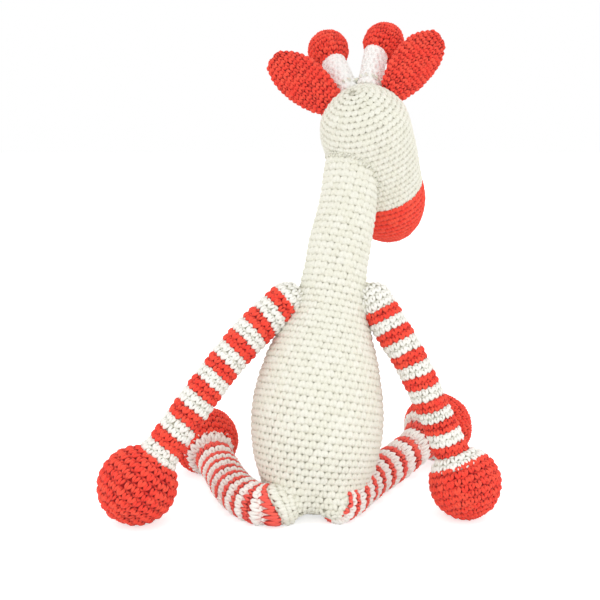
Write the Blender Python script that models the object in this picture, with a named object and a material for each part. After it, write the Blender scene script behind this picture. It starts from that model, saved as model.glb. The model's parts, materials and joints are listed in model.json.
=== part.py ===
"""A crocheted giraffe that sits with its legs apart and its hands on the floor.

Lengths are in metres and +Z is up. The giraffe looks along -Y, its own left is +X, and the
origin is the middle of the flat of its seat. Each crocheted form is a stuffed tube or ball that
swells and tapers along a centre line. Small forms are cut by the larger ones they are sewn to,
and the round root of each limb and ear turns in a matching hollow.
"""

import math

import bpy
from mathutils import Matrix, Vector

# Clearances and the flats that the toy sits on
SEAM_GAP = 0.0003
FLAT_DEPTH = 0.0005
CUT_OVERRUN = 0.02

# Body and neck, one tube that leans forward and to the giraffe's right
BODY_HEIGHT = 0.262
BELLY_RADIUS = 0.0485
NECK_RADIUS = 0.0222
SEAT_RADIUS = 0.0165
LEAN_FORWARD = 0.070
LEAN_SIDE = 0.0305

# Head: a round skull that runs on into a long muzzle
SKULL_RADIUS = 0.0349
MUZZLE_RADIUS = 0.0323
SNOUT_LENGTH = 0.057
MUZZLE_LENGTH = 0.046
SKULL_RISE = 0.0265
SKULL_SIDE = 0.0095
HEAD_YAW = math.radians(-30.6)
HEAD_PITCH = math.radians(55)
HEAD_ROLL = math.radians(19.3)

# Horns: a stalk with a ball on it
STALK_RADIUS = 0.0090
STALK_REACH = 0.043
KNOB_RADIUS = 0.0163

# Ears: fat leaves on a round root
EAR_LENGTH = 0.058
EAR_WIDTH = 0.0345
EAR_THICKNESS = 0.0125
EAR_ROOT_WIDTH = 0.023
EAR_STAND_OFF = 0.0015

# Eyes: domed buttons whose stems go into the head
EYE_RADIUS = 0.005
EYE_HEIGHT = 0.0036
EYE_STEM_RADIUS = 0.0015
EYE_STEM_LENGTH = 0.006
EYE_FORWARD = 0.024
EYE_ANGLE = math.radians(52)

# Arms and hands
SHOULDER_RADIUS = 0.0135
WRIST_RADIUS = 0.0160
HAND_RADIUS = 0.0270
SHOULDER_HEIGHT = 0.150
SHOULDER_STAND_OFF = 0.0045
HAND_OUT = 0.117
HAND_BACK = 0.019

# Legs and feet
LEG_RADIUS = 0.0145
FOOT_RADIUS = 0.0272
FOOT_OUT = 0.097
FOOT_FORWARD = 0.091
RIGHT_FOOT_LIFT = 0.003
LEFT_HIP_SWING = math.radians(20)

# Facets of each kind of form
BODY_SIDES = 24
HEAD_SIDES = 24
LIMB_SIDES = 16
BALL_SIDES = 18
EAR_SIDES = 16
SMALL_SIDES = 14
SOCKET_SIDES = 20
DOME_RINGS = 4
BODY_STEPS = 2
ARM_STEPS = 5
LEG_STEPS = 3

# Centre line and girth of the body from the seat up: height, lean to the side, lean forward and
# plumpness, each a share of BODY_HEIGHT, LEAN_SIDE, LEAN_FORWARD and the belly's swell
BODY_SHARES = (
    (0.000, 0.00, 0.00, None),
    (0.019, 0.00, 0.00, 0.25),
    (0.052, 0.00, 0.01, 0.61),
    (0.096, 0.01, 0.04, 0.82),
    (0.153, 0.02, 0.08, 0.955),
    (0.221, 0.05, 0.16, 1.00),
    (0.290, 0.08, 0.23, 0.985),
    (0.352, 0.13, 0.30, 0.88),
    (0.416, 0.20, 0.37, 0.71),
    (0.490, 0.30, 0.45, 0.43),
    (0.572, 0.41, 0.54, 0.145),
    (0.650, 0.51, 0.62, 0.05),
    (0.735, 0.64, 0.71, 0.035),
    (0.830, 0.82, 0.82, -0.02),
    (0.920, 0.91, 0.91, -0.06),
    (0.955, 0.945, 0.945, -0.07),
)
NECK_DOME_SHARE = 0.5

# Each side's own pose, as shares of the sizes above: a soft toy never sits quite evenly
HAND_OUT_SHARES = {"left": 1.076, "right": 0.919}
HAND_BACK_SHARES = {"left": 1.28, "right": 0.74}
HAND_SIZE_SHARES = {"left": 1.03, "right": 0.96}
SHOULDER_HEIGHT_SHARES = {"left": 0.985, "right": 0.99}
SHOULDER_TURN = {"left": math.radians(12), "right": math.radians(174)}
ARM_BOW_SHARES = {"left": 0.04, "right": 0.015}
FOOT_OUT_SHARES = {"left": 0.915, "right": 1.082}
FOOT_FORWARD_SHARES = {"left": 0.875, "right": 1.12}
FOOT_SIZE_SHARES = {"left": 0.99, "right": 1.03}

# Leg routes: across and back as shares of BELLY_RADIUS, then how far on the way to the foot
LEG_SHARES = {
    "left": (
        (0.40, 0.54, 0.0),
        (0.74, 0.58, 0.0),
        (1.04, 0.31, 0.0),
        (1.27, -0.17, 0.0),
        (1.16, -0.03, 0.5),
    ),
    "right": (
        (-0.30, 0.54, 0.0),
        (-0.50, 0.26, 0.0),
        (-0.72, -0.18, 0.0),
        (-0.97, -0.64, 0.0),
        (-0.72, -0.56, 0.5),
    ),
}

# Ear and horn places on the skull, as parts of its own left, back and top directions
EAR_ROOT_SHARES = {"left": (0.66, 0.69, 0.27), "right": (-0.66, 0.56, 0.48)}
EAR_WAY_SHARES = {"left": (0.72, 0.58, 0.40), "right": (-0.76, 0.26, 0.62)}
HORN_ROOT_SHARES = {"left": (0.28, 0.60, 0.77), "right": (-0.28, 0.60, 0.77)}
HORN_WAY_SHARES = {"left": (0.33, 0.44, 0.84), "right": (-0.22, 0.31, 0.92)}

# Leaf outline of an ear: way along it, and share of its greatest width and thickness
EAR_LEAF_SHARES = (
    (0.00, None, None),
    (0.14, 0.86, 0.98),
    (0.30, 0.98, 1.00),
    (0.48, 1.00, 0.96),
    (0.66, 0.86, 0.86),
    (0.81, 0.66, 0.70),
    (0.93, 0.42, 0.48),
)

CREAM = (0.92, 0.90, 0.83, 1.0)
RED = (0.87, 0.06, 0.04, 1.0)
BLACK = (0.01, 0.01, 0.01, 1.0)

SIDES_OF_TOY = ("left", "right")


def clear_scene():
    for item in list(bpy.data.objects):
        bpy.data.objects.remove(item, do_unlink=True)


def make_material(name, colour, roughness):
    material = bpy.data.materials.new(name)
    material.use_nodes = True
    shader = material.node_tree.nodes["Principled BSDF"]
    shader.inputs["Base Color"].default_value = colour
    shader.inputs["Roughness"].default_value = roughness
    shader.inputs["Metallic"].default_value = 0.0
    return material


def spline(points, steps):
    """Points on a smooth curve through the given vectors, steps to each stretch."""
    ends = [2 * points[0] - points[1], *points, 2 * points[-1] - points[-2]]
    curve = []
    for before, start, end, after in zip(ends, ends[1:], ends[2:], ends[3:]):
        for step in range(steps):
            t = step / steps
            drift = (end - before) * t
            bend = (2 * before - 5 * start + 4 * end - after) * t**2
            turn = (3 * start - before - 3 * end + after) * t**3
            curve.append((2 * start + drift + bend + turn) / 2)
    curve.append(points[-1])
    return curve


def across(way, old_side):
    """The part of old_side that is square to way, so that rings don't twist."""
    return (old_side - way * old_side.dot(way)).normalized()


def mesh_object(name, points, faces, material=None):
    mesh = bpy.data.meshes.new(name)
    mesh.from_pydata(points, [], faces)
    mesh.shade_smooth()
    item = bpy.data.objects.new(name, mesh)
    bpy.context.scene.collection.objects.link(item)
    if material:
        mesh.materials.append(material)
    return item


def skin(name, rings, first, last, material=None):
    """A closed form over rings of points, with a point or a flat at each end."""
    sides = len(rings[0])
    points = [point for ring in rings for point in ring]
    faces = []
    for low in range(0, len(points) - sides, sides):
        for side in range(sides):
            beside = (side + 1) % sides
            faces.append((low + side, low + beside, low + sides + beside, low + sides + side))
    top = len(points) - sides
    for pole, ring, order in ((first, 0, -1), (last, top, 1)):
        if pole is None:
            faces.append(tuple(range(ring, ring + sides))[::order])
            continue
        points.append(pole)
        for side in range(sides):
            edge = (ring + side, ring + (side + 1) % sides)[::order]
            faces.append((*edge, len(points) - 1))
    return mesh_object(name, points, faces, material)


def ring_at(centre, way, side, wide, thick, count):
    up = way.cross(side)
    ring = []
    for step in range(count):
        angle = math.tau * step / count
        ring.append(centre + side * (wide * math.cos(angle)) + up * (thick * math.sin(angle)))
    return ring


def tube(name, stations, count, domes, side, material=None):
    """A round tube through (centre, radius) stations, with a dome's depth for each end or None."""
    ways = []
    for index in range(len(stations)):
        low = stations[max(index - 1, 0)][0]
        high = stations[min(index + 1, len(stations) - 1)][0]
        ways.append((high - low).normalized())
    rings = []
    for (centre, radius), way in zip(stations, ways):
        side = across(way, side)
        rings.append(ring_at(centre, way, side, radius, radius, count))
        if len(rings) == 1:
            first_side = side
    poles = [None, None]
    ends = ((0, -ways[0], first_side, ways[0]), (-1, ways[-1], side, ways[-1]))
    for end, (index, out, ring_side, way) in enumerate(ends):
        depth = domes[end]
        if depth is None:
            continue
        centre, radius = stations[index]
        poles[end] = centre + out * depth
        for step in range(1, DOME_RINGS):
            angle = math.pi / 2 * step / DOME_RINGS
            wide = radius * math.cos(angle)
            ring = ring_at(centre + out * (depth * math.sin(angle)), way, ring_side, wide, wide, count)
            rings.insert(0 if end == 0 else len(rings), ring)
    return skin(name, rings, poles[0], poles[1], material)


def ball(name, centre, radius, pole_way, count, material=None):
    """A ball whose rings of facets lie round pole_way."""
    side = across(pole_way, Vector((1, 0, 0)))
    rings = []
    for step in range(1, count // 2):
        angle = math.pi * step / (count // 2)
        wide = radius * math.sin(angle)
        middle = centre - pole_way * (radius * math.cos(angle))
        rings.append(ring_at(middle, pole_way, side, wide, wide, count))
    return skin(name, rings, centre - pole_way * radius, centre + pole_way * radius, material)


def as_cutter(item):
    item.hide_render = True
    item.display_type = "WIRE"
    return item


def cut(item, *cutters):
    for cutter in cutters:
        modifier = item.modifiers.new("cut by " + cutter.name, "BOOLEAN")
        modifier.operation = "DIFFERENCE"
        modifier.object = cutter
    return item


def socket_ball(name, centre, radius):
    """A cutter whose flats lie just outside a ball of the given radius."""
    around = radius / math.cos(math.pi / SOCKET_SIDES) ** 2
    return as_cutter(ball(name, centre, around, Vector((0, 0, 1)), SOCKET_SIDES))


def body_beside(name, centre, radius, swing=0.0):
    """The space a limb keeps out of when swung: the grown body, without the limb's round root."""
    near_body = as_cutter(make_body("body_beside_" + name, SEAM_GAP))
    back = Matrix.Translation(centre) @ Matrix.Rotation(-swing, 4, "Z")
    near_body.data.transform(back @ Matrix.Translation(-centre))
    return cut(near_body, socket_ball("root_of_" + name, centre, radius))


def hang_on(pivot, pieces):
    """Parents pieces to an empty at a joint and puts their origins on it."""
    for piece in pieces:
        piece.data.transform(Matrix.Translation(-pivot.location))
        piece.parent = pivot


def make_pivot(name, place):
    pivot = bpy.data.objects.new(name, None)
    pivot.location = place
    pivot.empty_display_size = SHOULDER_RADIUS
    bpy.context.scene.collection.objects.link(pivot)
    return pivot


def floor_cutter():
    """A slab whose top is the floor, with room round the whole toy."""
    reach = HAND_OUT + FOOT_OUT + BODY_HEIGHT
    low, high = -CUT_OVERRUN - BELLY_RADIUS, 0.0
    corners = [(x, y, z) for z in (low, high) for y in (-reach, reach) for x in (-reach, reach)]
    faces = [(0, 2, 3, 1), (4, 5, 7, 6), (0, 1, 5, 4), (2, 6, 7, 3), (0, 4, 6, 2), (1, 3, 7, 5)]
    return as_cutter(mesh_object("floor_cutter", corners, faces))


def body_point(height, side_share, forward_share):
    return Vector((-LEAN_SIDE * side_share, -LEAN_FORWARD * forward_share, height))


def body_stations(grow):
    """Centre and radius up the body and neck, every radius larger by grow."""
    places = []
    swell = BELLY_RADIUS - NECK_RADIUS
    for height, side, forward, plump in BODY_SHARES:
        radius = SEAT_RADIUS if plump is None else NECK_RADIUS + swell * plump
        centre = body_point(BODY_HEIGHT * height, side, forward)
        if plump is None:
            centre.z = -SEAM_GAP
        places.append(Vector((*centre, radius)))
    return [(point.xyz, point.w + grow) for point in spline(places, BODY_STEPS)]


def body_at(height):
    """The body's centre and radius at a height, for what is sewn on there."""
    stations = body_stations(0)
    for (low, low_radius), (high, high_radius) in zip(stations, stations[1:]):
        if low.z <= height <= high.z:
            part = (height - low.z) / (high.z - low.z)
            return low.lerp(high, part), low_radius + (high_radius - low_radius) * part
    return stations[-1]


def make_body(name, grow, material=None):
    dome = NECK_RADIUS * NECK_DOME_SHARE + grow
    return tube(name, body_stations(grow), BODY_SIDES, (None, dome), Vector((1, 0, 0)), material)


def neck_axis():
    stations = body_stations(0)
    top, below = stations[-1][0], stations[-3][0]
    return top, (top - below).normalized()


def head_turn():
    """The head's own left, back and top directions, as a matrix."""
    yaw = Matrix.Rotation(HEAD_YAW, 3, "Z")
    pitch = Matrix.Rotation(HEAD_PITCH, 3, "X")
    roll = Matrix.Rotation(HEAD_ROLL, 3, "Y")
    return yaw @ pitch @ roll


def skull_centre():
    top, way = neck_axis()
    return top + way * SKULL_RISE + Vector((-SKULL_SIDE, 0, 0))


def on_skull(shares, radius):
    way = (head_turn() @ Vector(shares)).normalized()
    return skull_centre() + way * radius


def make_skull(name, grow, material=None):
    """The skull and snout as one form, larger by grow."""
    snout = head_turn() @ Vector((0, -1, 0))
    side = head_turn() @ Vector((1, 0, 0))
    taper = SKULL_RADIUS - MUZZLE_RADIUS
    stations = []
    for share in (0.0, 0.33, 0.67, 1.0):
        centre = skull_centre() + snout * (SNOUT_LENGTH * share)
        stations.append((centre, SKULL_RADIUS - taper * share**2 + grow))
    return tube(name, stations, HEAD_SIDES, (SKULL_RADIUS + grow, None), side, material)


def make_head(cream, red, body_cutter, sockets):
    """The skull with its snout, and the muzzle beyond the change of yarn."""
    snout = head_turn() @ Vector((0, -1, 0))
    side = head_turn() @ Vector((1, 0, 0))
    head = make_skull("head", 0, cream)
    start = skull_centre() + snout * (SNOUT_LENGTH + SEAM_GAP)
    collar = [(start, MUZZLE_RADIUS), (start + snout * (MUZZLE_LENGTH / 8), MUZZLE_RADIUS)]
    dome = MUZZLE_LENGTH * 7 / 8
    muzzle = tube("muzzle", collar, HEAD_SIDES, (None, dome), side, red)
    cut(head, body_cutter, *sockets)
    cut(muzzle, body_cutter)
    return [head, muzzle]


def make_horn(side, cream, red):
    """A stalk sewn to the skull and the ball on its end."""
    way = (head_turn() @ Vector(HORN_WAY_SHARES[side])).normalized()
    root = on_skull(HORN_ROOT_SHARES[side], SKULL_RADIUS)
    across_way = head_turn() @ Vector((1, 0, 0))
    knob_centre = root + way * STALK_REACH
    inside = root - way * (SKULL_RADIUS / 2)
    stalk_places = [(inside, STALK_RADIUS), (knob_centre, STALK_RADIUS)]
    stalk = tube("horn_stalk_" + side, stalk_places, SMALL_SIDES, (None, None), across_way, cream)
    knob = ball("horn_knob_" + side, knob_centre, KNOB_RADIUS, way, SMALL_SIDES, red)
    knob_cutter = ball("knob_cutter_" + side, knob_centre, KNOB_RADIUS + SEAM_GAP, way, SMALL_SIDES)
    skull_cutter = make_skull("skull_cutter_" + side, SEAM_GAP)
    cut(stalk, as_cutter(knob_cutter), as_cutter(skull_cutter))
    return [stalk, knob]


def ear_lines(side):
    """An ear's pivot, its way out and its width direction."""
    pivot = on_skull(EAR_ROOT_SHARES[side], SKULL_RADIUS + EAR_STAND_OFF)
    way = (head_turn() @ Vector(EAR_WAY_SHARES[side])).normalized()
    return pivot, way, across(way, Vector((0, 0, 1)))


def ear_form(name, side, grow, whole, material=None):
    """A leaf on a round root, or the root alone for its hollow, larger by grow."""
    pivot, way, wide = ear_lines(side)
    root_wide, root_thick = EAR_ROOT_WIDTH / 2 + grow, EAR_THICKNESS / 2 + grow
    rings = []
    spread = range(-DOME_RINGS + 1, 1) if whole else range(-DOME_RINGS + 1, DOME_RINGS)
    for step in spread:
        angle = math.pi / 2 * step / DOME_RINGS
        shrink = math.cos(angle)
        centre = pivot + way * (root_thick * math.sin(angle))
        rings.append(ring_at(centre, way, wide, root_wide * shrink, root_thick * shrink, EAR_SIDES))
    tip = pivot + way * root_thick
    if whole:
        tip = pivot + way * EAR_LENGTH
        for along, width, thickness in EAR_LEAF_SHARES[1:]:
            leaf_wide, leaf_thick = EAR_WIDTH / 2 * width, EAR_THICKNESS / 2 * thickness
            centre = pivot + way * (EAR_LENGTH * along)
            rings.append(ring_at(centre, way, wide, leaf_wide, leaf_thick, EAR_SIDES))
    return skin(name, rings, pivot - way * root_thick, tip, material)


def eye_lines(side):
    """An eye's place on the skin, and the way it looks."""
    turn = head_turn()
    lean = EYE_ANGLE if side == "left" else -EYE_ANGLE
    way = turn @ Vector((math.sin(lean), 0, math.cos(lean)))
    return skull_centre() + turn @ Vector((0, -EYE_FORWARD, 0)) + way * SKULL_RADIUS, way


def eye_hole(side):
    place, way = eye_lines(side)
    deep = place - way * (EYE_STEM_LENGTH + SEAM_GAP)
    wide = EYE_STEM_RADIUS + SEAM_GAP
    ends = [(deep, wide), (place + way * EYE_STEM_LENGTH, wide)]
    return as_cutter(tube("eye_hole_" + side, ends, SMALL_SIDES, (None, None), Vector((0, 0, 1))))


def make_eye(side, material):
    """A domed button with a stem, turned about the way it looks."""
    place, way = eye_lines(side)
    base = place + way * SEAM_GAP
    level = across(way, Vector((0, 0, 1)))
    outline = [(-EYE_STEM_LENGTH, EYE_STEM_RADIUS), (0, EYE_STEM_RADIUS), (0, EYE_RADIUS)]
    for step in range(1, DOME_RINGS):
        angle = math.pi / 2 * step / DOME_RINGS
        outline.append((EYE_HEIGHT * math.sin(angle), EYE_RADIUS * math.cos(angle)))
    rings = [ring_at(base + way * out, way, level, wide, wide, SMALL_SIDES) for out, wide in outline]
    return skin("eye_" + side, rings, None, base + way * EYE_HEIGHT, material)


def shoulder_pivot(side):
    height = SHOULDER_HEIGHT * SHOULDER_HEIGHT_SHARES[side]
    centre, radius = body_at(height)
    turn = SHOULDER_TURN[side]
    return centre + Vector((math.cos(turn), math.sin(turn), 0)) * (radius + SHOULDER_STAND_OFF)


def hand_centre(side):
    sign = 1 if side == "left" else -1
    radius = HAND_RADIUS * HAND_SIZE_SHARES[side]
    out = sign * HAND_OUT * HAND_OUT_SHARES[side]
    return Vector((out, HAND_BACK * HAND_BACK_SHARES[side], radius - FLAT_DEPTH)), radius


def make_arm(side, cream, red, floor):
    """An arm that swells to the wrist, bowed a little, and the ball of its hand."""
    shoulder = shoulder_pivot(side)
    hand, radius = hand_centre(side)
    outward = across((hand - shoulder).normalized(), Vector((0, 0, 1)))
    bow = outward * ((hand - shoulder).length * ARM_BOW_SHARES[side])
    places = [
        Vector((*shoulder, SHOULDER_RADIUS)),
        Vector((*(shoulder.lerp(hand, 0.5) + bow), (SHOULDER_RADIUS + WRIST_RADIUS) / 2)),
        Vector((*hand, WRIST_RADIUS)),
    ]
    stations = [(point.xyz, point.w) for point in spline(places, ARM_STEPS)]
    arm = tube("arm_" + side, stations, LIMB_SIDES, (SHOULDER_RADIUS, None), Vector((0, 1, 0)), cream)
    way = (hand - stations[-3][0]).normalized()
    palm = ball("hand_" + side, hand, radius, way, BALL_SIDES, red)
    palm_cutter = ball("hand_cutter_" + side, hand, radius + SEAM_GAP, way, BALL_SIDES)
    shoulder_hollow = socket_ball("shoulder_hollow_" + side, shoulder, SHOULDER_RADIUS + SEAM_GAP)
    cut(arm, body_beside("arm_" + side, shoulder, SHOULDER_RADIUS), as_cutter(palm_cutter))
    cut(palm, floor)
    return shoulder_hollow, make_pivot("shoulder_pivot_" + side, shoulder), [arm, palm]


def foot_centre(side):
    sign = 1 if side == "left" else -1
    radius = FOOT_RADIUS * FOOT_SIZE_SHARES[side]
    lift = RIGHT_FOOT_LIFT if side == "right" else -FLAT_DEPTH
    out = sign * FOOT_OUT * FOOT_OUT_SHARES[side]
    return Vector((out, -FOOT_FORWARD * FOOT_FORWARD_SHARES[side], radius + lift)), radius


def make_leg(side, cream, red, floor):
    """A leg that leaves the seat's back, turns forward beside the belly and ends in a ball."""
    foot, radius = foot_centre(side)
    places = []
    for across_share, back_share, on_way in LEG_SHARES[side]:
        start = Vector((across_share, back_share, 0)) * BELLY_RADIUS
        point = start.lerp(foot, on_way)
        low = LEG_RADIUS - FLAT_DEPTH
        point.z = low + (foot.z - low) * on_way**3
        places.append(point)
    stations = [(point, LEG_RADIUS) for point in spline([*places, foot], LEG_STEPS)]
    leg = tube("leg_" + side, stations, LIMB_SIDES, (LEG_RADIUS, None), Vector((0, 0, 1)), cream)
    way = (foot - stations[-3][0]).normalized()
    sole = ball("foot_" + side, foot, radius, way, BALL_SIDES, red)
    sole_cutter = ball("foot_cutter_" + side, foot, radius + SEAM_GAP, way, BALL_SIDES)
    hip_hollow = socket_ball("hip_hollow_" + side, places[0], LEG_RADIUS + SEAM_GAP)
    cut(leg, body_beside("leg_" + side, places[0], LEG_RADIUS), as_cutter(sole_cutter), floor)
    if side == "left":
        cut(leg, body_beside("swung_leg_" + side, places[0], LEG_RADIUS, LEFT_HIP_SWING))
    cut(sole, floor)
    return hip_hollow, make_pivot("hip_pivot_" + side, places[0]), [leg, sole]


def main():
    clear_scene()
    cream = make_material("cream_yarn", CREAM, 0.9)
    red = make_material("red_yarn", RED, 0.9)
    black = make_material("eye_black", BLACK, 0.15)
    floor = floor_cutter()

    body = make_body("body", 0, cream)
    hollows = []
    for side in SIDES_OF_TOY:
        for maker in (make_arm, make_leg):
            hollow, pivot, pieces = maker(side, cream, red, floor)
            hollows.append(hollow)
            hang_on(pivot, pieces)
            pivot.parent = body
    cut(body, *hollows, floor)

    sockets, head_pieces, ear_pivots = [], [], []
    for side in SIDES_OF_TOY:
        ear_hollow = ear_form("ear_hollow_" + side, side, SEAM_GAP * 2, False)
        sockets += [as_cutter(ear_hollow), eye_hole(side)]
        head_pieces += [*make_horn(side, cream, red), make_eye(side, black)]
        ear_pivot = make_pivot("ear_pivot_" + side, ear_lines(side)[0])
        hang_on(ear_pivot, [ear_form("ear_" + side, side, 0, True, red)])
        ear_pivots.append(ear_pivot)
    neck_cutter = as_cutter(make_body("neck_cutter", SEAM_GAP))
    head_pieces += make_head(cream, red, neck_cutter, sockets)
    neck_pivot = make_pivot("neck_pivot", neck_axis()[0])
    hang_on(neck_pivot, head_pieces)
    for ear_pivot in ear_pivots:
        ear_pivot.location -= neck_pivot.location
        ear_pivot.parent = neck_pivot
    neck_pivot.parent = body


main()
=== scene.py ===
"""A crocheted giraffe, worked stitch by stitch over the forms of its stuffed body.

Lengths are in metres, +Z is up, the giraffe looks along -Y and its own left is +X. Every soft
form is a tube or ball along a centre line. Rounds of single crochet are laid over it in a spiral,
and each stitch is two fat strands of yarn that leave the hole below and part towards the top.
"""

import json
import math

import bpy
import numpy as np
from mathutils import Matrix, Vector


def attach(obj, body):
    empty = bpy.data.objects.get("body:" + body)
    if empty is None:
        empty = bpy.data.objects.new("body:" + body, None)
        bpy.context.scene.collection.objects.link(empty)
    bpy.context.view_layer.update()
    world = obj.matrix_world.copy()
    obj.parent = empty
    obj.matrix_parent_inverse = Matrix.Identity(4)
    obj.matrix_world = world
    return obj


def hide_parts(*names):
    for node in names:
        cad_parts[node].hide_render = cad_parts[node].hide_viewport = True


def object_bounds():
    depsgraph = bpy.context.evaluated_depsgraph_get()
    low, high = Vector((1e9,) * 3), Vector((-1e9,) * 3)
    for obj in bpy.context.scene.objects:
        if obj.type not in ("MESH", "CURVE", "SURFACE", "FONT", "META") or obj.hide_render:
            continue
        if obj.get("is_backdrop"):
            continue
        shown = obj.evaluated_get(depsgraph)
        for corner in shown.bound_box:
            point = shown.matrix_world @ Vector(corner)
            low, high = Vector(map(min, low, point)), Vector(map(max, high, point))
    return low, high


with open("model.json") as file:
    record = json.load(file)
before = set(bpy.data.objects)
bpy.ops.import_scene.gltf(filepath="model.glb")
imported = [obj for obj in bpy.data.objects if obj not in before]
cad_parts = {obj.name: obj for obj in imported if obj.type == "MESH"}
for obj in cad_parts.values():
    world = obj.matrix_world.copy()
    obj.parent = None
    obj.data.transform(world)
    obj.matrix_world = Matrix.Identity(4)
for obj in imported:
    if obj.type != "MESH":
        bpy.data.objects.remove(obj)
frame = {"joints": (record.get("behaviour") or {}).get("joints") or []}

bl_info = {
    "name": "Crocheted Giraffe",
    "version": (1, 0, 0),
    "blender": (4, 5, 0),
    "location": "View3D > Sidebar > Giraffe",
    "description": "Builds a seated giraffe in single crochet, and the studio round it",
    "category": "Add Mesh",
}

CAD_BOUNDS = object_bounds()
SIDES_OF_TOY = ("left", "right")
SIGNS = {"left": 1, "right": -1}

# Height, lean to the side, lean forward and plumpness of the body from the seat up, as shares
BODY_SHARES = (
    (0.000, 0.00, 0.00, -0.22),
    (0.019, 0.00, 0.00, 0.25),
    (0.052, 0.00, 0.01, 0.52),
    (0.096, 0.01, 0.04, 0.72),
    (0.153, 0.02, 0.08, 0.905),
    (0.221, 0.05, 0.16, 1.00),
    (0.290, 0.08, 0.23, 0.985),
    (0.352, 0.13, 0.30, 0.88),
    (0.416, 0.20, 0.37, 0.71),
    (0.490, 0.30, 0.45, 0.43),
    (0.572, 0.41, 0.54, 0.145),
    (0.650, 0.51, 0.62, 0.05),
    (0.735, 0.64, 0.71, 0.035),
    (0.830, 0.82, 0.82, -0.02),
    (0.920, 0.91, 0.91, -0.06),
    (0.955, 0.945, 0.945, -0.07),
)

# Height as a share, width of a stitch in metres, and drift of a round in stitches
BODY_GAUGE = (
    (0.12, 0.0053, 0.50),
    (0.20, 0.0053, 0.42),
    (0.30, 0.0053, 0.34),
    (0.40, 0.0053, 0.28),
    (0.47, 0.0051, 0.16),
    (0.55, 0.0049, 0.17),
    (0.63, 0.0055, 0.14),
    (0.90, 0.0056, 0.12),
)

# Each side's own pose, as shares of the sizes in the settings
HAND_OUT_SHARES = {"left": 1.076, "right": 0.919}
HAND_BACK_SHARES = {"left": 1.28, "right": 0.74}
HAND_SIZE_SHARES = {"left": 1.03, "right": 0.945}
FOOT_OUT_SHARES = {"left": 0.915, "right": 1.082}
FOOT_FORWARD_SHARES = {"left": 0.875, "right": 1.12}
FOOT_SIZE_SHARES = {"left": 0.99, "right": 1.03}

# Leg routes: across and back as shares of the belly's radius, then how far on the way to the foot
LEG_SHARES = {
    "left": (
        (0.40, 0.54, 0.0),
        (0.74, 0.58, 0.0),
        (1.04, 0.31, 0.0),
        (1.27, -0.17, 0.0),
        (1.16, -0.03, 0.5),
    ),
    "right": (
        (-0.30, 0.54, 0.0),
        (-0.50, 0.26, 0.0),
        (-0.72, -0.18, 0.0),
        (-0.97, -0.64, 0.0),
        (-0.72, -0.56, 0.5),
    ),
}

# Places and directions on the head, as parts of its own left, back and top directions
EAR_WAY_SHARES = {"left": (0.72, 0.58, 0.40), "right": (-0.76, 0.26, 0.62)}
HORN_ROOT_SHARES = {"left": (0.28, 0.60, 0.77), "right": (-0.28, 0.60, 0.77)}
HORN_WAY_SHARES = {"left": (0.33, 0.44, 0.84), "right": (-0.22, 0.31, 0.92)}

# How far the photograph shows each horn's root, rim and ball across and up from there, in metres
HORN_SHIFTS = {
    "left": ((0.0008, 0.0012), (0.0008, 0.0014), (0.0004, 0.0017)),
    "right": ((0.0030, 0.0010), (0.0034, 0.0020), (-0.0006, 0.0012)),
}

# Length of each ear and how far its leaf bends up, as shares of the ear's length
EAR_BENDS = {"left": (1.0, 0.032), "right": (0.95, 0.062)}

# Leaf outline of an ear: way along it, then shares of its greatest width and thickness
EAR_LEAF_SHARES = (
    (0.00, 0.70, 1.00),
    (0.14, 0.86, 0.98),
    (0.30, 0.98, 1.00),
    (0.48, 1.02, 1.00),
    (0.66, 0.96, 0.96),
    (0.81, 0.80, 0.84),
    (0.92, 0.56, 0.64),
)

# Routes of the arms: share of the way to the shoulder, then how far above the straight line to
# it and the radius there, in metres
ARM_ROUTES = {
    "left": (
        (0.0, 0.0, 0.0131),
        (0.35, 0.0058, 0.0129),
        (0.58, 0.0090, 0.0128),
        (0.80, 0.0086, 0.0135),
        (1.0, 0.0037, 0.0141),
    ),
    "right": (
        (0.0, 0.0, 0.0128),
        (0.40, 0.0048, 0.0122),
        (0.65, 0.0064, 0.0125),
        (0.85, 0.0041, 0.0133),
        (1.0, 0.0024, 0.0137),
    ),
}

# Bands of the arms: middles of the red bands, two rounds each, from the hand's centre
ARM_BANDS = {
    "left": (0.0382, 0.0608, 0.0825, 0.1015, 0.1228, 0.1438, 0.1662),
    "right": (0.0277, 0.0460, 0.0619, 0.0805, 0.0989, 0.1189, 0.1373),
}

# How far the bands sag towards the hand at the back of each arm, in metres
ARM_SAGS = {"left": 0.0008, "right": 0.0025}

# Height of the rounds on each ball, in metres
BALL_ROWS = {
    ("hand", "left"): 0.0064,
    ("hand", "right"): 0.0055,
    ("foot", "left"): 0.0052,
    ("foot", "right"): 0.0052,
}

# Bands of the legs: middles of the red rounds from the foot's centre
LEG_BANDS = {
    "left": (0.0300, 0.0428, 0.0565, 0.0725, 0.0865, 0.0995, 0.1095, 0.1195, 0.1305),
    "right": (0.0260, 0.0465, 0.0690, 0.0890, 0.1070, 0.1240, 0.1390, 0.1515, 0.1630),
}

# How far the last bands of each leg lean at the hip, in metres
HIP_LEANS = {"left": 0.0060, "right": 0.0085}

# One leg of a stitch: across in stitch widths, up in rows, out in yarn radii, and fatness
LEG_STRAND = np.array(
    (
        (0.01, -0.46, -1.20, 0.00),
        (0.04, -0.32, -0.10, 0.60),
        (0.10, -0.04, 0.42, 0.82),
        (0.22, 0.25, 0.72, 1.12),
        (0.26, 0.52, 0.74, 1.16),
        (0.26, 0.78, 0.05, 1.02),
        (0.24, 1.00, -1.30, 0.00),
    )
)

# The loop of the round below that shows between the feet of two stitches
LOOP_STRAND = np.array(
    (
        (-0.02, -0.14, -1.30, 0.00),
        (0.20, -0.22, 0.00, 0.78),
        (0.50, -0.30, 0.32, 0.94),
        (0.80, -0.22, 0.00, 0.78),
        (1.02, -0.14, -1.30, 0.00),
    )
)

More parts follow.
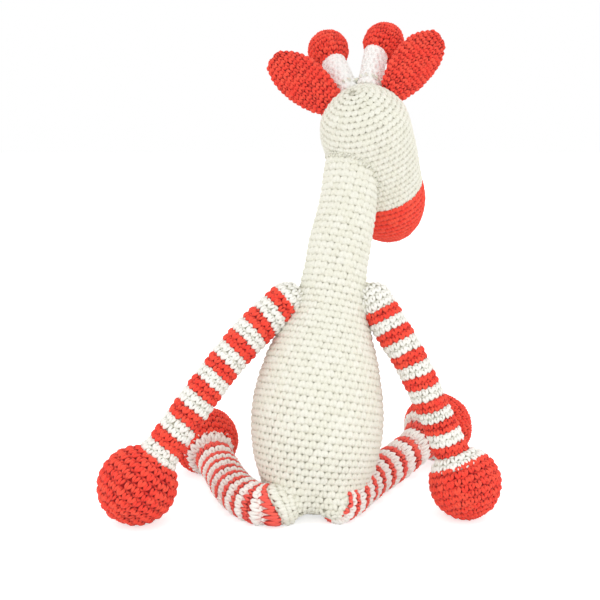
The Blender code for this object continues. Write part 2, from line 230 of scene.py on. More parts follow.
# Both again where the yarn is pulled tight: beads of yarn with deep gaps round them
BEAD_STRAND = np.array(
    (
        (0.00, -0.46, -1.20, 0.00),
        (0.03, -0.30, -0.05, 0.62),
        (0.10, -0.08, 0.48, 0.88),
        (0.24, 0.20, 0.92, 1.15),
        (0.30, 0.42, 0.80, 1.10),
        (0.27, 0.62, -0.10, 0.86),
        (0.22, 0.80, -1.50, 0.00),
    )
)
BAR_STRAND = np.array(
    (
        (-0.02, -0.12, -1.30, 0.00),
        (0.20, -0.25, 0.10, 0.86),
        (0.50, -0.33, 0.48, 1.02),
        (0.80, -0.25, 0.10, 0.86),
        (1.02, -0.12, -1.30, 0.00),
    )
)

# Ways of working: leg and loop, fatness across and outwards, unevenness, and inset in metres
PLUMP = (LEG_STRAND, LOOP_STRAND, 1.36, 0.80, 1.0, 0.0016)
KNOBBLY = (BEAD_STRAND, BAR_STRAND, 0.96, 1.0, 1.5, 0.0019)
SLEEK = (LEG_STRAND, LOOP_STRAND, 1.75, 0.42, 0.5, 0.0011)
STRAND_SIDES = 6

# Shape of a stitch: the height that it leans about and how far its legs stand over and under each
# other, in rows, the most that its yarn's width takes of its height, and how many times as much as
# its place its lift and its fatness stray
LEAN_PIVOT, LEG_STEP, FAT_LIMIT, LIFT_STRAY, FAT_STRAY = 0.4, 0.05, 1.1, 2, 1.3

# How much of its way past the end of a form a strand keeps
PAST_END_SHARE = 0.3

# A round takes a new count once the girth asks for this many stitches more or fewer, and it has at
# least the fewest; where rounds meet, this share of each is spread to close the gap
COUNT_SLACK, FEWEST_STITCHES, MEETING_SHARE = 0.7, 5, 0.2

# Stitches that lie deeper than this in another form are left out, in metres
HIDDEN_DEPTH = 0.006

# One whip stitch: share of its reach along the tube, out in yarn radii, and fatness
WHIP_STRAND = (
    (1.0, -0.6, 0.0),
    (0.7, 0.5, 0.8),
    (0.25, 1.1, 1.0),
    (-0.25, 1.1, 1.0),
    (-0.7, 0.5, 0.8),
    (-1.0, -0.6, 0.0),
)

# Whip stitches: the steps in which their seam is looked for, and the fewest stitches
SEAM_STEPS, FEWEST_WHIPS = 160, 6

# Whip stitches: how far apart and how long they are in metres, how high a unit of out is and how
# fat the yarn is in stitch widths, their lean round the tube, and how unevenly they are spaced
WHIP_PITCH, WHIP_REACH = 0.0042, 0.0030
WHIP_LIFT, WHIP_FATNESS, WHIP_LEAN, WHIP_STRAY = 0.2, 0.19, 0.08, 0.12

# Width of a horn's stalk under its ball and at its root, as shares of its radius
STALK_TAPER = (1.04, 0.98)

# Where a stalk ends, as a share of the ball's radius from its middle, and how deep its root is sunk
# in the head, in metres
STALK_END_SHARE, STALK_SUNK = 0.66, 0.004

# Share of the first gap between an arm's bands that lies from the tube's start to the first band
ARM_START_SHARE = 0.62

# Heights of a leg's first two rounds beside its foot, the second at the most, in metres, and how
# much the red rounds widen at the cost of the cream ones
LEG_START_ROWS = (0.0062, 0.0065)
RED_SPREAD = 0.14

# How far before its last band a leg's rounds begin to lean, and over what length, in metres
HIP_LEAN_BEFORE, HIP_LEAN_REACH = 0.012, 0.014

# How much of the lean of the body's rounds shows at each height, both as shares
ROUND_LEAN_SHARES = ((0.02, 0), (0.12, 1), (0.27, 1), (0.38, 0.2), (0.5, 0))

# Length over which the directions of the body's rounds are evened, in metres
BODY_SMOOTHING = 0.03

# Share of the muzzle that runs straight before it domes, and of an ear where its bend is reached
COLLAR_SHARE, EAR_BEND_REACH = 0.125, 0.5

# How far a tube stands over the ball at its end and its skin reaches under the first round
BALL_COVER, SKIN_OVERLAP = 0.0003, 0.001

# Angle of a ball's first and last ring from its poles, and the number of its rings
BALL_POLE_ANGLE, BALL_STEPS = 0.02, 40

# How much less the body swells at a joint than the limb's radius there, and the fillet, in metres
HIP_SWELL = (0.003, 0.008)
SHOULDER_SWELL = (0.001, 0.004)

# An eye's rim and its neck under the rim, as shares of its radius, how deep the neck is sunk in
# metres, and the steps round it, over its rim and up its dome
EYE_RIM_SHARE, EYE_NECK_SHARE, EYE_SUNK = 0.12, 0.86, 0.0012
EYE_SIDES, EYE_RIM_STEPS, EYE_DOME_STEPS = 48, 4, 12

# Lamps: place, the place that they point at, size, and the setting that holds their power
LAMPS = {
    "key light": ((0.35, 0.7, 0.95), (0, 0, 0.15), 0.6, "key_energy"),
    "fill light": ((-0.7, 0.5, 0.5), (0, 0, 0.15), 0.7, "fill_energy"),
    "low light": ((0.0, 0.95, 0.16), (0, 0, 0.05), 0.5, "low_energy"),
    "left light": ((0.9, 0.1, 0.3), (0, 0, 0.15), 0.6, "side_energy"),
    "right light": ((-0.9, 0.1, 0.3), (0, 0, 0.15), 0.6, "side_energy"),
}

# Slots of every crocheted piece: both yarns, their skins and the body's cream. A yarn's slot and
# the offset below add up to the slot of its skin, which takes the yarn painted darker as painted
# shade under the stitches
CREAM, RED, SHADED_SKIN, BODY_CREAM = 0, 1, 2, 4

# What differs between the limbs: node of the ball, rounds in a band, places of the bands, cream of
# the tube, painted lighter than the body's as painted light, slot and way of working of the rounds
# past the bands, and the first seed
LIMBS = {
    "arm": ("hand", 2, ARM_BANDS, "pale cream", CREAM, KNOBBLY, 51),
    "leg": ("foot", 1, LEG_BANDS, "soft cream", BODY_CREAM, PLUMP, 61),
}

# Columns of a form's table: centre, way along, side, radii, and rise and level of the skin
CENTRE, WAY, SIDE, RADII = slice(0, 3), slice(3, 6), slice(6, 9), slice(9, 11)
WIDE, THICK, RISE, LEVEL = 9, 10, 11, 12


# Sizes and colours


def amount(name, default, description, **more):
    return bpy.props.FloatProperty(name=name, default=default, description=description, **more)


def length(name, default, description):
    return amount(name, default, description, unit="LENGTH", min=0.0, precision=4)


def share(name, default, description):
    return amount(name, default, description, subtype="FACTOR", soft_min=0.0, soft_max=1.0)


def turn(name, degrees, description):
    return amount(name, math.radians(degrees), description, subtype="ANGLE")


def power(name, default, description):
    return amount(name, default, description, unit="POWER")


def colour(name, default, description):
    return bpy.props.FloatVectorProperty(
        name=name, default=default, description=description, subtype="COLOR", size=3, min=0, max=1
    )


class YarnSettings(bpy.types.PropertyGroup):
    """Yarn and stitches"""

    stitch_width: length("Stitch width", 0.0050, "Width of one stitch round a form")
    row_height: length("Row height", 0.0051, "Height of one round")
    head_width: length("Head stitch width", 0.0048, "Width of one stitch on the head")
    head_height: length("Head row height", 0.0047, "Height of one round on the head")
    fine_width: length("Fine stitch width", 0.0045, "Width of one stitch on horns and ears")
    fine_height: length("Fine row height", 0.0041, "Height of one round on horns and ears")
    inset: length("Inset", 0.0018, "How far the stuffing's skin lies under the form's outline")
    fatness: share("Yarn fatness", 0.25, "Half of a strand's width, in stitch widths")
    drift: share("Drift", 0.42, "How far each round lies past the one before it, in stitches")
    lean: share("Lean", 0.12, "How far stitches lean with the drift, in stitches to a round")
    unevenness: share("Unevenness", 0.035, "How far stitches stray from their places")
    cream: colour("Cream", (0.85, 0.838, 0.72), "Colour of the cream yarn")
    # The cream yarn painted lighter, as painted light on the limbs and horns
    lit_cream: colour("Lit cream", (0.95, 0.94, 0.88), "Cream yarn of the limbs and horns")
    red: colour("Coral red", (0.97, 0.064, 0.040), "Colour of the red yarn")
    # The cream and coral painted darker, as painted shade deep in the holes and on the skin under
    # the stitches
    cream_shade: colour("Cream inside", (0.55, 0.53, 0.43), "Cream yarn deep in the holes")
    red_shade: colour("Coral shade", (0.39, 0.010, 0.010), "Red yarn deep in the holes")


class FormSettings(bpy.types.PropertyGroup):
    """Sizes of the stuffed forms"""

    body_height: length("Body height", 0.262, "Seat to the level where the neck's shares end")
    belly_radius: length("Belly radius", 0.0485, "Radius of the body where it is widest")
    neck_radius: length("Neck radius", 0.0222, "Radius of the neck")
    lean_forward: length("Lean forward", 0.070, "How far the neck's top lies in front of the seat")
    lean_side: length("Lean sideways", 0.0305, "How far the neck's top lies to the right")
    round_lean: turn("Lean of rounds", 4.5, "Lean of the belly's rounds to the right")
    skull_radius: length("Skull radius", 0.0349, "Radius of the head's back")
    muzzle_radius: length("Muzzle radius", 0.0323, "Radius of the head where the yarn changes")
    snout_length: length("Snout length", 0.0545, "Skull centre to the change of yarn")
    muzzle_length: length("Muzzle length", 0.0495, "Change of yarn to the tip of the muzzle")
    skull_rise: length("Skull rise", 0.0265, "Skull centre over the top of the neck")
    skull_side: length("Skull side", 0.0075, "Skull centre beside the top of the neck")
    head_yaw: turn("Head yaw", -30.6, "Turn of the head about the vertical")
    head_pitch: turn("Head pitch", 55, "How far the muzzle points down")
    head_roll: turn("Head roll", 19.3, "Tilt of the head about its own length")
    stalk_radius: length("Horn stalk radius", 0.0090, "Radius of a horn's stalk")
    stalk_reach: length("Horn stalk reach", 0.043, "Skull to the middle of a horn's ball")
    knob_radius: length("Horn ball radius", 0.0163, "Radius of a horn's ball")
    ear_length: length("Ear length", 0.058, "Root to tip of an ear")
    ear_width: length("Ear width", 0.0345, "Width of an ear")
    ear_thickness: length("Ear thickness", 0.0125, "Thickness of an ear")
    eye_radius: length("Eye radius", 0.005, "Radius of an eye's button")
    eye_height: length("Eye height", 0.0036, "How far an eye stands out")
    eye_forward: length("Eye forward", 0.024, "Skull centre to the eyes along the snout")
    eye_angle: turn("Eye angle", 52, "How far round the head each eye lies from its top")
    shoulder_radius: length("Shoulder radius", 0.0135, "Radius of an arm where the body meets it")
    hand_radius: length("Hand radius", 0.0270, "Radius of a hand's ball")
    hand_out: length("Hand out", 0.117, "How far the hands lie to the sides")
    hand_back: length("Hand back", 0.019, "How far the hands lie behind the seat")
    leg_radius: length("Leg radius", 0.0145, "Radius of a leg")
    hip_depth: length("Hip depth", 0.008, "How far a leg is rounded off at the hip")
    foot_radius: length("Foot radius", 0.0272, "Radius of a foot's ball")
    foot_out: length("Foot out", 0.097, "How far the feet lie to the sides")
    foot_forward: length("Foot forward", 0.091, "How far the feet lie in front of the seat")
    foot_lift: length("Right foot lift", 0.003, "How far the right foot hangs over the floor")
    press: length("Press", 0.0005, "How deep the forms are pressed flat by the floor")


class StageSettings(bpy.types.PropertyGroup):
    """Camera, floor and light"""

    camera_back: length("Camera distance", 0.643, "Camera behind the seat")
    camera_side: length("Camera side", 0.011, "Camera beside the seat")
    camera_height: length("Camera height", 0.261, "Camera over the floor")
    camera_tilt: turn("Camera tilt", 9.3, "How far the camera looks down")
    focal: length("Focal length", 0.05502, "Focal length on a sensor 36 mm wide")
    floor_reach: length("Floor reach", 60.0, "Half of the floor's width")
    floor_glow: share("Floor glow", 0.62, "How far the floor is lifted towards white")
    key_energy: power("Key light", 0.2, "Lamp over the camera")
    fill_energy: power("Fill light", 0.3, "Lamp at the toy's right")
    low_energy: power("Low light", 1.7, "Lamp behind the toy, near the floor")
    side_energy: power("Side lights", 0.8, "Each of the lamps beside the toy")
    world_level: share("World", 1.0, "Strength of the light all round")


def settings():
    scene = bpy.context.scene
    return scene.giraffe_yarn, scene.giraffe_form, scene.giraffe_stage


def joint_lines(name):
    """A joint's place and axis."""
    for joint in frame["joints"]:
        if joint["name"] == name:
            return np.array(joint["pos_m"], dtype=float), unit(joint["axis"])
    raise RuntimeError("there is no joint named " + name)


# Small vector helpers


def unit(vectors):
    vectors = np.asarray(vectors, dtype=float)
    return vectors / np.maximum(np.linalg.norm(vectors, axis=-1, keepdims=True), 1e-12)


def smooth_curve(points, steps):
    """Points on a smooth curve through the given rows, steps to each stretch."""
    points = np.asarray(points, dtype=float)
    ends = np.vstack((2 * points[0] - points[1], points, 2 * points[-1] - points[-2]))
    t = (np.arange(steps) / steps)[:, None]
    pieces = []
    for before, start, end, after in zip(ends, ends[1:], ends[2:], ends[3:]):
        drift = (end - before) * t
        bend = (2 * before - 5 * start + 4 * end - after) * t**2
        turned = (3 * start - before - 3 * end + after) * t**3
        pieces.append((2 * start + drift + bend + turned) / 2)
    return np.vstack((*pieces, points[-1:]))


def turned_about(axis, angle):
    x, y, z = unit(axis)
    c, s = math.cos(angle), math.sin(angle)
    cross = np.array(((0, -z, y), (z, 0, -x), (-y, x, 0)))
    return c * np.eye(3) + s * cross + (1 - c) * np.outer((x, y, z), (x, y, z))


# Forms: a centre line with a round or oval section, from which any surface point can be read


class Form:
    """A stuffed tube, from its first end to its last, with a dome's depth for each end or None.

    wide and thick are its radii, side is the way of the wide one, and smooth is a length over
    which the directions of the centre line are evened.
    """

    DOME_STEPS = 14
    # How far a swelling can lift the skin, how often that is halved to find it, the least lift that
    # counts, and the least lean of the skin to the way out
    SWELL_REACH, HALVINGS, LEAST_LIFT, LEAST_LEAN = 0.03, 18, 1e-4, 0.3
    # Sections less oval than this count as round, and an oval is measured in this many steps
    OVAL_SHARE, OVAL_STEPS = 0.02, 180

    def __init__(self, centres, wide, thick, side, domes, smooth=0.0):
        centres = np.asarray(centres, dtype=float)
        wide, thick = (np.broadcast_to(r, len(centres)).astype(float) for r in (wide, thick))
        ways = unit(np.gradient(centres, axis=0))
        if smooth:
            step = np.linalg.norm(np.gradient(centres, axis=0), axis=1)
            walked = np.cumsum(step)
            near = np.exp(-(((walked[:, None] - walked) / smooth) ** 2)) * step
            ways = unit(near @ ways)
        sides = []
        side = np.asarray(side, dtype=float)
        for way in ways:
            side = unit(side - way * (side @ way))
            sides.append(side)
        rows = [np.hstack((centres, ways, np.array(sides), wide[:, None], thick[:, None]))]
        for end, (depth, out) in enumerate(zip(domes, (-1, 1))):
            if depth is None:
                continue
            edge = rows[0][0] if end == 0 else rows[-1][-1]
            angles = np.linspace(0, math.pi / 2, self.DOME_STEPS + 1)[1:]
            dome = np.repeat(edge[None], len(angles), axis=0)
            dome[:, CENTRE] += edge[WAY] * out * depth * np.sin(angles)[:, None]
            dome[:, RADII] = edge[RADII] * np.cos(angles)[:, None]
            rows = [dome[::-1], *rows] if end == 0 else [*rows, dome]
        table = np.vstack(rows)
        mean = table[:, RADII].mean(axis=1)
        step = np.hypot(np.linalg.norm(np.diff(table[:, CENTRE], axis=0), axis=1), np.diff(mean))
        keep = np.concatenate(([True], step > 1e-7))
        table, mean = table[keep], mean[keep]
        run = np.linalg.norm(np.diff(table[:, CENTRE], axis=0), axis=1)
        self.walked = np.concatenate(([0], np.cumsum(run)))
        self.down = np.concatenate(([0], np.cumsum(np.hypot(run, np.diff(mean)))))
        rise = np.gradient(mean, self.down)
        level = np.sqrt(np.clip(1 - rise**2, 0, 1))
        self.table = np.hstack((table, rise[:, None], level[:, None]))
        self.length = self.down[-1]
        self.swells, self.slant = [], None

    def read(self, down):
        down = np.asarray(down, dtype=float)
        columns = [np.interp(down, self.down, column) for column in self.table.T]
        return np.stack(columns, axis=-1)

    def down_at(self, walked):
        """Ways down the skin for ways along the centre line."""
        return np.interp(walked, self.walked, self.down)

    def girth(self, down):
        values = self.read(down)
        return math.tau * np.sqrt((values[..., WIDE] ** 2 + values[..., THICK] ** 2) / 2)

    def surface(self, down, angle, out=0.0):
        """Points and outward normals at a way down the form and an angle round it."""
        if self.slant is not None:
            down = down + self.slant(down, angle)
        values = self.read(down)
        centre, way, side = values[..., CENTRE], values[..., WAY], values[..., SIDE]
        wide, thick = values[..., WIDE, None], values[..., THICK, None]
        rise, level = values[..., RISE, None], values[..., LEVEL, None]
        up = np.cross(way, side)
        c, s = np.cos(angle)[..., None], np.sin(angle)[..., None]
        ring = side * c * wide + up * s * thick
        spread = unit(side * c * np.maximum(thick, 1e-9) + up * s * np.maximum(wide, 1e-9))
        normal = unit(spread * level - way * rise)
        points = centre + ring
        if self.swells:
            points, normal = self.swollen(centre, points, normal)
        return points + normal * np.asarray(out)[..., None], normal

    def swollen(self, centre, points, normal):
        """Moves points out from the centre line to where the form meets its swellings smoothly."""
        reach = np.linalg.norm(points - centre, axis=-1)
        way = unit(points - centre)
        lean = np.maximum((way * normal).sum(axis=-1), self.LEAST_LEAN)
        for ball, radius, fillet in self.swells:
            low, high = reach.copy(), reach + self.SWELL_REACH
            for _ in range(self.HALVINGS):
                middle = (low + high) / 2
                skin = (middle - reach) * lean
                apart = np.linalg.norm(centre + way * middle[..., None] - ball, axis=-1) - radius
                part = np.clip(0.5 + 0.5 * (apart - skin) / fillet, 0, 1)
                outside = apart * (1 - part) + skin * part - fillet * part * (1 - part) > 0
                high = np.where(outside, middle, high)
                low = np.where(outside, low, middle)
            moved = centre + way * ((low + high) / 2)[..., None]
            mixed_way = unit(moved - ball) * (1 - part[..., None]) + normal * part[..., None]
            shifted = (low - reach) > self.LEAST_LIFT
            points = np.where(shifted[..., None], moved, points)
            normal = np.where(shifted[..., None], unit(mixed_way), normal)
            reach = np.where(shifted, low, reach)
        return points, normal

    def even_angles(self, down, parts):
        """Angles that part the girth at each level evenly, for parts given from 0 to 1."""
        wide, thick = self.table[:, WIDE], self.table[:, THICK]
        if np.abs(wide - thick).max() < self.OVAL_SHARE * (wide + thick).max():
            return parts * math.tau
        angles = np.linspace(0, math.tau, self.OVAL_STEPS + 1)
        across, along = np.diff(np.cos(angles)), np.diff(np.sin(angles))
        turns = np.floor(parts)
        rows = np.clip(np.searchsorted(self.down, down), 0, len(self.down) - 1)
        found = np.empty_like(parts)
        for row in np.unique(rows):
            step = np.hypot(across * wide[row], along * thick[row])
            walked = np.concatenate(([0], np.cumsum(step)))
            here = rows == row
            walked /= max(walked[-1], 1e-9)
            found[here] = np.interp((parts - turns)[here], walked, angles / math.tau)
        return (turns + found) * math.tau

    def ball_depths(self, points):
        """How deep points lie in each ball of the row of balls that the form is taken as."""
        radius = self.table[:, RADII].mean(axis=1)
        return radius - np.linalg.norm(points[..., None, :] - self.table[:, CENTRE], axis=-1)

    def depth_of(self, points):
        return self.ball_depths(points).max(axis=-1)

    def onto(self, points, out):
        """Points moved on to the form and as far out as given."""
        row = self.ball_depths(points).argmax(axis=-1)
        centre, radius = self.table[row, CENTRE], self.table[row, RADII].mean(axis=-1)
        return centre + unit(points - centre) * (radius + out)[..., None]


def tube_faces(rings, sides, past):
    """Faces of a closed tube, and the place of each of their corners as (ring, step).

    The tube's points run ring by ring, and then come the first end's point and the last end's,
    whose places lie past the outer rings by the given part of a ring.
    """
    faces, places = [], []
    for ring in range(rings - 1):
        low, high = ring * sides, (ring + 1) * sides
        for step in range(sides):
            beside = (step + 1) % sides
            faces.append((low + step, low + beside, high + beside, high + step))
            places += [(ring, step), (ring, step + 1), (ring + 1, step + 1), (ring + 1, step)]
    last, first_point = rings - 1, rings * sides
    top = last * sides
    for step in range(sides):
        beside = (step + 1) % sides
        faces += [(beside, step, first_point), (top + step, top + beside, first_point + 1)]
        places += [(0, step + 1), (0, step), (-past, step + 0.5)]
        places += [(last, step), (last, step + 1), (last + past, step + 0.5)]
    return faces, np.array(places, dtype=float)


# Yarnwork: strands and skins gathered into one mesh


class Yarnwork:
    """The strands and the skin of one piece, turned into one mesh at the end."""

    LISTS = ("points", "corners", "sizes", "slots", "along", "cells", "cell_ids", "tones", "crowns")
    # Share of the bake square that the skin takes, and the margins of cells and square
    SKIN_SHARE, CELL_MARGIN, EDGE_MARGIN = 0.18, 0.06, 0.005
    # How far under and over the form's outline the yarn's painted shade is deepest and gone
    HOLLOW, CROWN = 0.0017, 0.0006
    # Scale of the plies over the skin
    SKIN_SCALE = 20

    def __init__(self, name):
        self.name, self.count, self.strands = name, 0, 0
        self.lists = {name: [] for name in self.LISTS}

    def add(self, points, corners, *rest):
        """Adds points and faces, with one array for each of the lists."""
        for name, values in zip(self.LISTS, (points, corners + self.count, *rest)):
            self.lists[name].append(values)
        self.count += len(points)

    def joined(self, name):
        return np.concatenate(self.lists[name])

    def add_strands(self, paths, normals, lift, wide, high, slots, tones, sides=STRAND_SIDES):
        """Closed strands along paths of shape (strands, stations, 3), pointed at both ends.

        lift is how far the paths' stations stand out from the form's outline.
        """
        total, stations = paths.shape[:2]
        tangents = unit(np.gradient(paths, axis=1))
        across = unit(np.cross(normals, tangents))
        outward = np.cross(tangents, across)
        angles = math.tau * (np.arange(sides) + 0.5) / sides
        inner = slice(1, -1)
        rings = (
            paths[:, inner, None]
            + across[:, inner, None] * (np.cos(angles)[:, None] * wide[:, inner, None, None])
            + outward[:, inner, None] * (np.sin(angles)[:, None] * high[:, inner, None, None])
        )
        points = np.concatenate(
            (rings.reshape(total, -1, 3), paths[:, :1], paths[:, -1:]), axis=1
        )
        tops = lift[:, inner, None] + np.sin(angles) * high[:, inner, None]
        tops = np.concatenate((tops.reshape(total, -1), lift[:, :1], lift[:, -1:]), axis=1)
        # How far each point stands out, as its share of the way out of the painted shade between
        # stitches
        crowns = np.clip((tops + self.HOLLOW) / (self.HOLLOW + self.CROWN), 0, 1)
        faces, places = tube_faces(stations - 2, sides, 1)
        corners, sizes = np.concatenate(faces), [len(face) for face in faces]
        places = (places + (1, 0)) / (stations - 1, sides)
        each = points.shape[1]
        walked = np.linalg.norm(np.diff(paths, axis=1), axis=2).sum(axis=1)
        along = np.tile(places[None], (total, 1, 1))
        along[..., 0] *= (walked * 1000)[:, None]
        self.add(
            points.reshape(-1, 3),
            (corners[None] + (np.arange(total) * each)[:, None]).ravel(),
            np.tile(sizes, total),
            np.repeat(slots, len(sizes)),
            along.reshape(-1, 2),
            np.tile(places, (total, 1)),
            np.repeat(np.arange(total) + self.strands, len(corners)),
            np.repeat(tones, each),
            crowns.ravel(),
        )
        self.strands += total

    def add_skin(self, form, start, end, slot_at, sides, step):
        """The closed skin under the stitches, from start to end down the form."""
        rounds = max(int(round((end - start) / step)), 3)
        downs = np.linspace(start, end, rounds + 1)
        grid = np.meshgrid(downs, math.tau * np.arange(sides) / sides, indexing="ij")
        points, _ = form.surface(*grid, np.full(grid[0].shape, -settings()[0].inset))
        poles = np.array([points[0].mean(axis=0), points[-1].mean(axis=0)])
        points = np.concatenate((points.reshape(-1, 3), poles))
        faces, places = tube_faces(rounds + 1, sides, -0.5)
        places /= (rounds, sides)
        rows = [slot_at(down) for down in (downs[:-1] + downs[1:]) / 2]
        ends = [slot_at(down) for down in downs[[0, -1]]]
        # The skin takes each yarn painted darker, as painted shade under the stitches
        self.add(
            points,
            np.concatenate(faces),
            np.array([len(face) for face in faces]),
            np.concatenate((np.repeat(rows, sides), np.tile(ends, sides))) + SHADED_SKIN,
            places * self.SKIN_SCALE,
            places,
            np.full(len(places), -1),
            np.full(len(points), 0.5),
            np.zeros(len(points)),
        )

    def bake_places(self):
        """Lays each strand in a cell of its own over the lower part of the square."""
        cells, ids = self.joined("cells"), self.joined("cell_ids")
        places = np.empty_like(cells)
        tall, edge = 1 - self.SKIN_SHARE, self.EDGE_MARGIN
        across = max(int(math.ceil(math.sqrt(max(self.strands, 1) / tall))), 1)
        down = max(int(math.ceil(max(self.strands, 1) / across)), 1)
        strand = ids >= 0
        column, row = ids[strand] % across, ids[strand] // across
        inner = self.CELL_MARGIN + (1 - 2 * self.CELL_MARGIN) * cells[strand]
        places[strand, 0] = (column + inner[:, 0]) / across
        places[strand, 1] = (row + inner[:, 1]) / down * tall
        places[~strand, 0] = edge + (1 - 2 * edge) * cells[~strand, 1]
        places[~strand, 1] = tall + edge + (self.SKIN_SHARE - 2 * edge) * cells[~strand, 0]
        return places

    def finish(self, materials):
        """The mesh of all that was added, with nothing under the floor."""
        points, corners, sizes = (self.joined(name) for name in ("points", "corners", "sizes"))
        points[:, 2] = np.maximum(points[:, 2], 0)
        mesh = bpy.data.meshes.new(self.name)
        mesh.vertices.add(len(points))
        mesh.vertices.foreach_set("co", points.astype(np.float32).ravel())
        mesh.loops.add(len(corners))
        mesh.loops.foreach_set("vertex_index", corners.astype(np.int32))
        mesh.polygons.add(len(sizes))
        starts = np.concatenate(([0], np.cumsum(sizes)[:-1]))
        mesh.polygons.foreach_set("loop_start", starts.astype(np.int32))
        mesh.update(calc_edges=True)
        for material in materials:
            mesh.materials.append(material)
        mesh.polygons.foreach_set("material_index", self.joined("slots").astype(np.int32))
        for name, places in (("OFBake", self.bake_places()), ("Strand", self.joined("along"))):
            layer = mesh.uv_layers.new(name=name)
            layer.data.foreach_set("uv", places.astype(np.float32).ravel())
        for name, values in (("tone", "tones"), ("crown", "crowns")):
            layer = mesh.attributes.new(name, "FLOAT", "POINT")
            layer.data.foreach_set("value", self.joined(values).astype(np.float32))
        mesh.shade_smooth()
        mesh.validate()
        piece = bpy.data.objects.new(self.name, mesh)
        bpy.context.scene.collection.objects.link(piece)
        return piece


def spiral_places(form, levels, gauge):
    """Every stitch's way along the spiral, counted in rounds, and the stitches in its round.

    Rounds line up on the front, half way round, with each a little further round than the one
    before it. The stitches at the back are spread to close the gaps where rounds meet.
    """
    counts, places, count, phase = [], [], 0.0, 0.0
    for row, middle in enumerate((levels[1:] + levels[:-1]) / 2):
        width, drift = gauge(middle)
        even = float(form.girth(middle)) / width
        if abs(even - count) > COUNT_SLACK:
            count = max(round(even), FEWEST_STITCHES)
        phase += drift
        part = (0.5 + (np.arange(count) + phase) / count) % 1
        places.append(row + 1 - part)
        counts.append(count)
    counts, places = np.array(counts), np.sort(np.concatenate(places))
    for meeting in range(1, len(counts)):
        before = places[places < meeting - MEETING_SHARE]
        after = places[places > meeting + MEETING_SHARE]
        start, end = before[-1], after[0]
        steps = max(int(round((end - start) * counts[meeting - 1 : meeting + 1].mean())), 1)
        places = np.concatenate((before, np.linspace(start, end, steps + 1)[1:-1], after))
    return places, counts[np.minimum(places.astype(int), len(counts) - 1)]


def even_gauge(width):
    """A gauge with one width of stitch all over."""
    drift = settings()[0].drift
    return lambda down: (width, drift)


def only(yarn):
    """The same yarn at every round and place."""
    return lambda at: yarn


def crochet(
    work, form, levels, slot_of_row, seed, front=0.0, hidden_in=None, gauge=None, style=KNOBBLY
):
    """Lays a spiral of single crochet over a form; levels are the rounds' limits down the form.

    slot_of_row gives the yarn of each round, and front is the angle opposite the rounds' start.
    Stitches that lie deep in the form hidden_in are left out. gauge gives the width of a stitch
    and the drift of its round for a way down the form, and style is the way of working.
    """
    yarn = settings()[0]
    leg, loop, wide, high, uneven, inset = style
    places, counts = spiral_places(form, levels, gauge or even_gauge(yarn.stitch_width))
    rows = np.clip(places.astype(int), 0, len(levels) - 2)
    rng = np.random.default_rng(seed)
    stray = rng.normal(0, yarn.unevenness * uneven, (len(places), 6))
    tones = rng.uniform(0, 1, len(places))
    limits = np.arange(-1, len(levels) + 1)
    ends = (2 * levels[0] - levels[1], 2 * levels[-1] - levels[-2])
    stretched = np.concatenate((ends[:1], levels, ends[1:]))
    part = rows + 0.5 - places + front / math.tau
    middles = np.interp(places, limits, stretched)
    heights = levels[rows + 1] - levels[rows]
    fat = np.minimum(form.girth(middles) / counts, heights * FAT_LIMIT) * yarn.fatness
    keep = np.ones(len(places), dtype=bool)
    if hidden_in is not None:
        spots, _ = form.surface(middles, form.even_angles(middles, part))
        keep = hidden_in.depth_of(spots) < HIDDEN_DEPTH
    slots = np.array([slot_of_row(row) for row in range(len(levels) - 1)])
    below = slots[np.maximum(rows - 1, 0)]
    for shares, mirror, yarns_used in (
        (leg, -1.0, slots[rows]),
        (leg, 1.0, slots[rows]),
        (loop, 1.0, below),
    ):
        looped = shares is loop
        across = mirror * shares[:, 0] + yarn.lean * (shares[:, 1] - LEAN_PIVOT) + stray[:, :1]
        up = shares[:, 1] + LEG_STEP * mirror * (not looped) + stray[:, 1:2]
        way = places[:, None] - 0.5 + up - across / counts[:, None]
        down = np.interp(way, limits, stretched)
        inside = np.clip(down, 0, form.length)
        angles = form.even_angles(inside, part[:, None] + across / counts[:, None])
        lift = (shares[:, 2] + stray[:, 2:3] * LIFT_STRAY) * fat[:, None] - inset
        paths, normals = form.surface(inside, angles, lift)
        paths += form.read(inside)[..., WAY] * (down - inside)[..., None] * PAST_END_SHARE
        fatness = shares[:, 3] * (1 + stray[:, 3 + looped][:, None] * FAT_STRAY) * fat[:, None]
        work.add_strands(
            paths[keep],
            normals[keep],
            lift[keep],
            fatness[keep] * (1.0 if looped else wide),
            fatness[keep] * high,
            yarns_used[keep],
            tones[keep],
        )


def even_levels(start, end, height):
    return np.linspace(start, end, max(int(round((end - start) / height)), 1) + 1)


def front_levels(form, front, height, steps=400):
    """Limits of rounds that are even where the form faces the front."""
    downs = np.linspace(0, form.length, steps)
    spots, _ = form.surface(downs, np.full(len(downs), front))
    walked = np.concatenate(([0], np.cumsum(np.linalg.norm(np.diff(spots, axis=0), axis=1))))
    return np.interp(even_levels(0, walked[-1], height), walked, downs)


# Materials


def set_inputs(node, values):
    for socket, value in values.items():
        node.inputs[socket].default_value = value


def new_material(name, values):
    """A material, its nodes and links, and its Principled shader with the given values."""
    material = bpy.data.materials.new(name)
    material.use_nodes = True
    tree = material.node_tree
    shader = tree.nodes["Principled BSDF"]
    set_inputs(shader, values)
    return material, tree.nodes, tree.links, shader


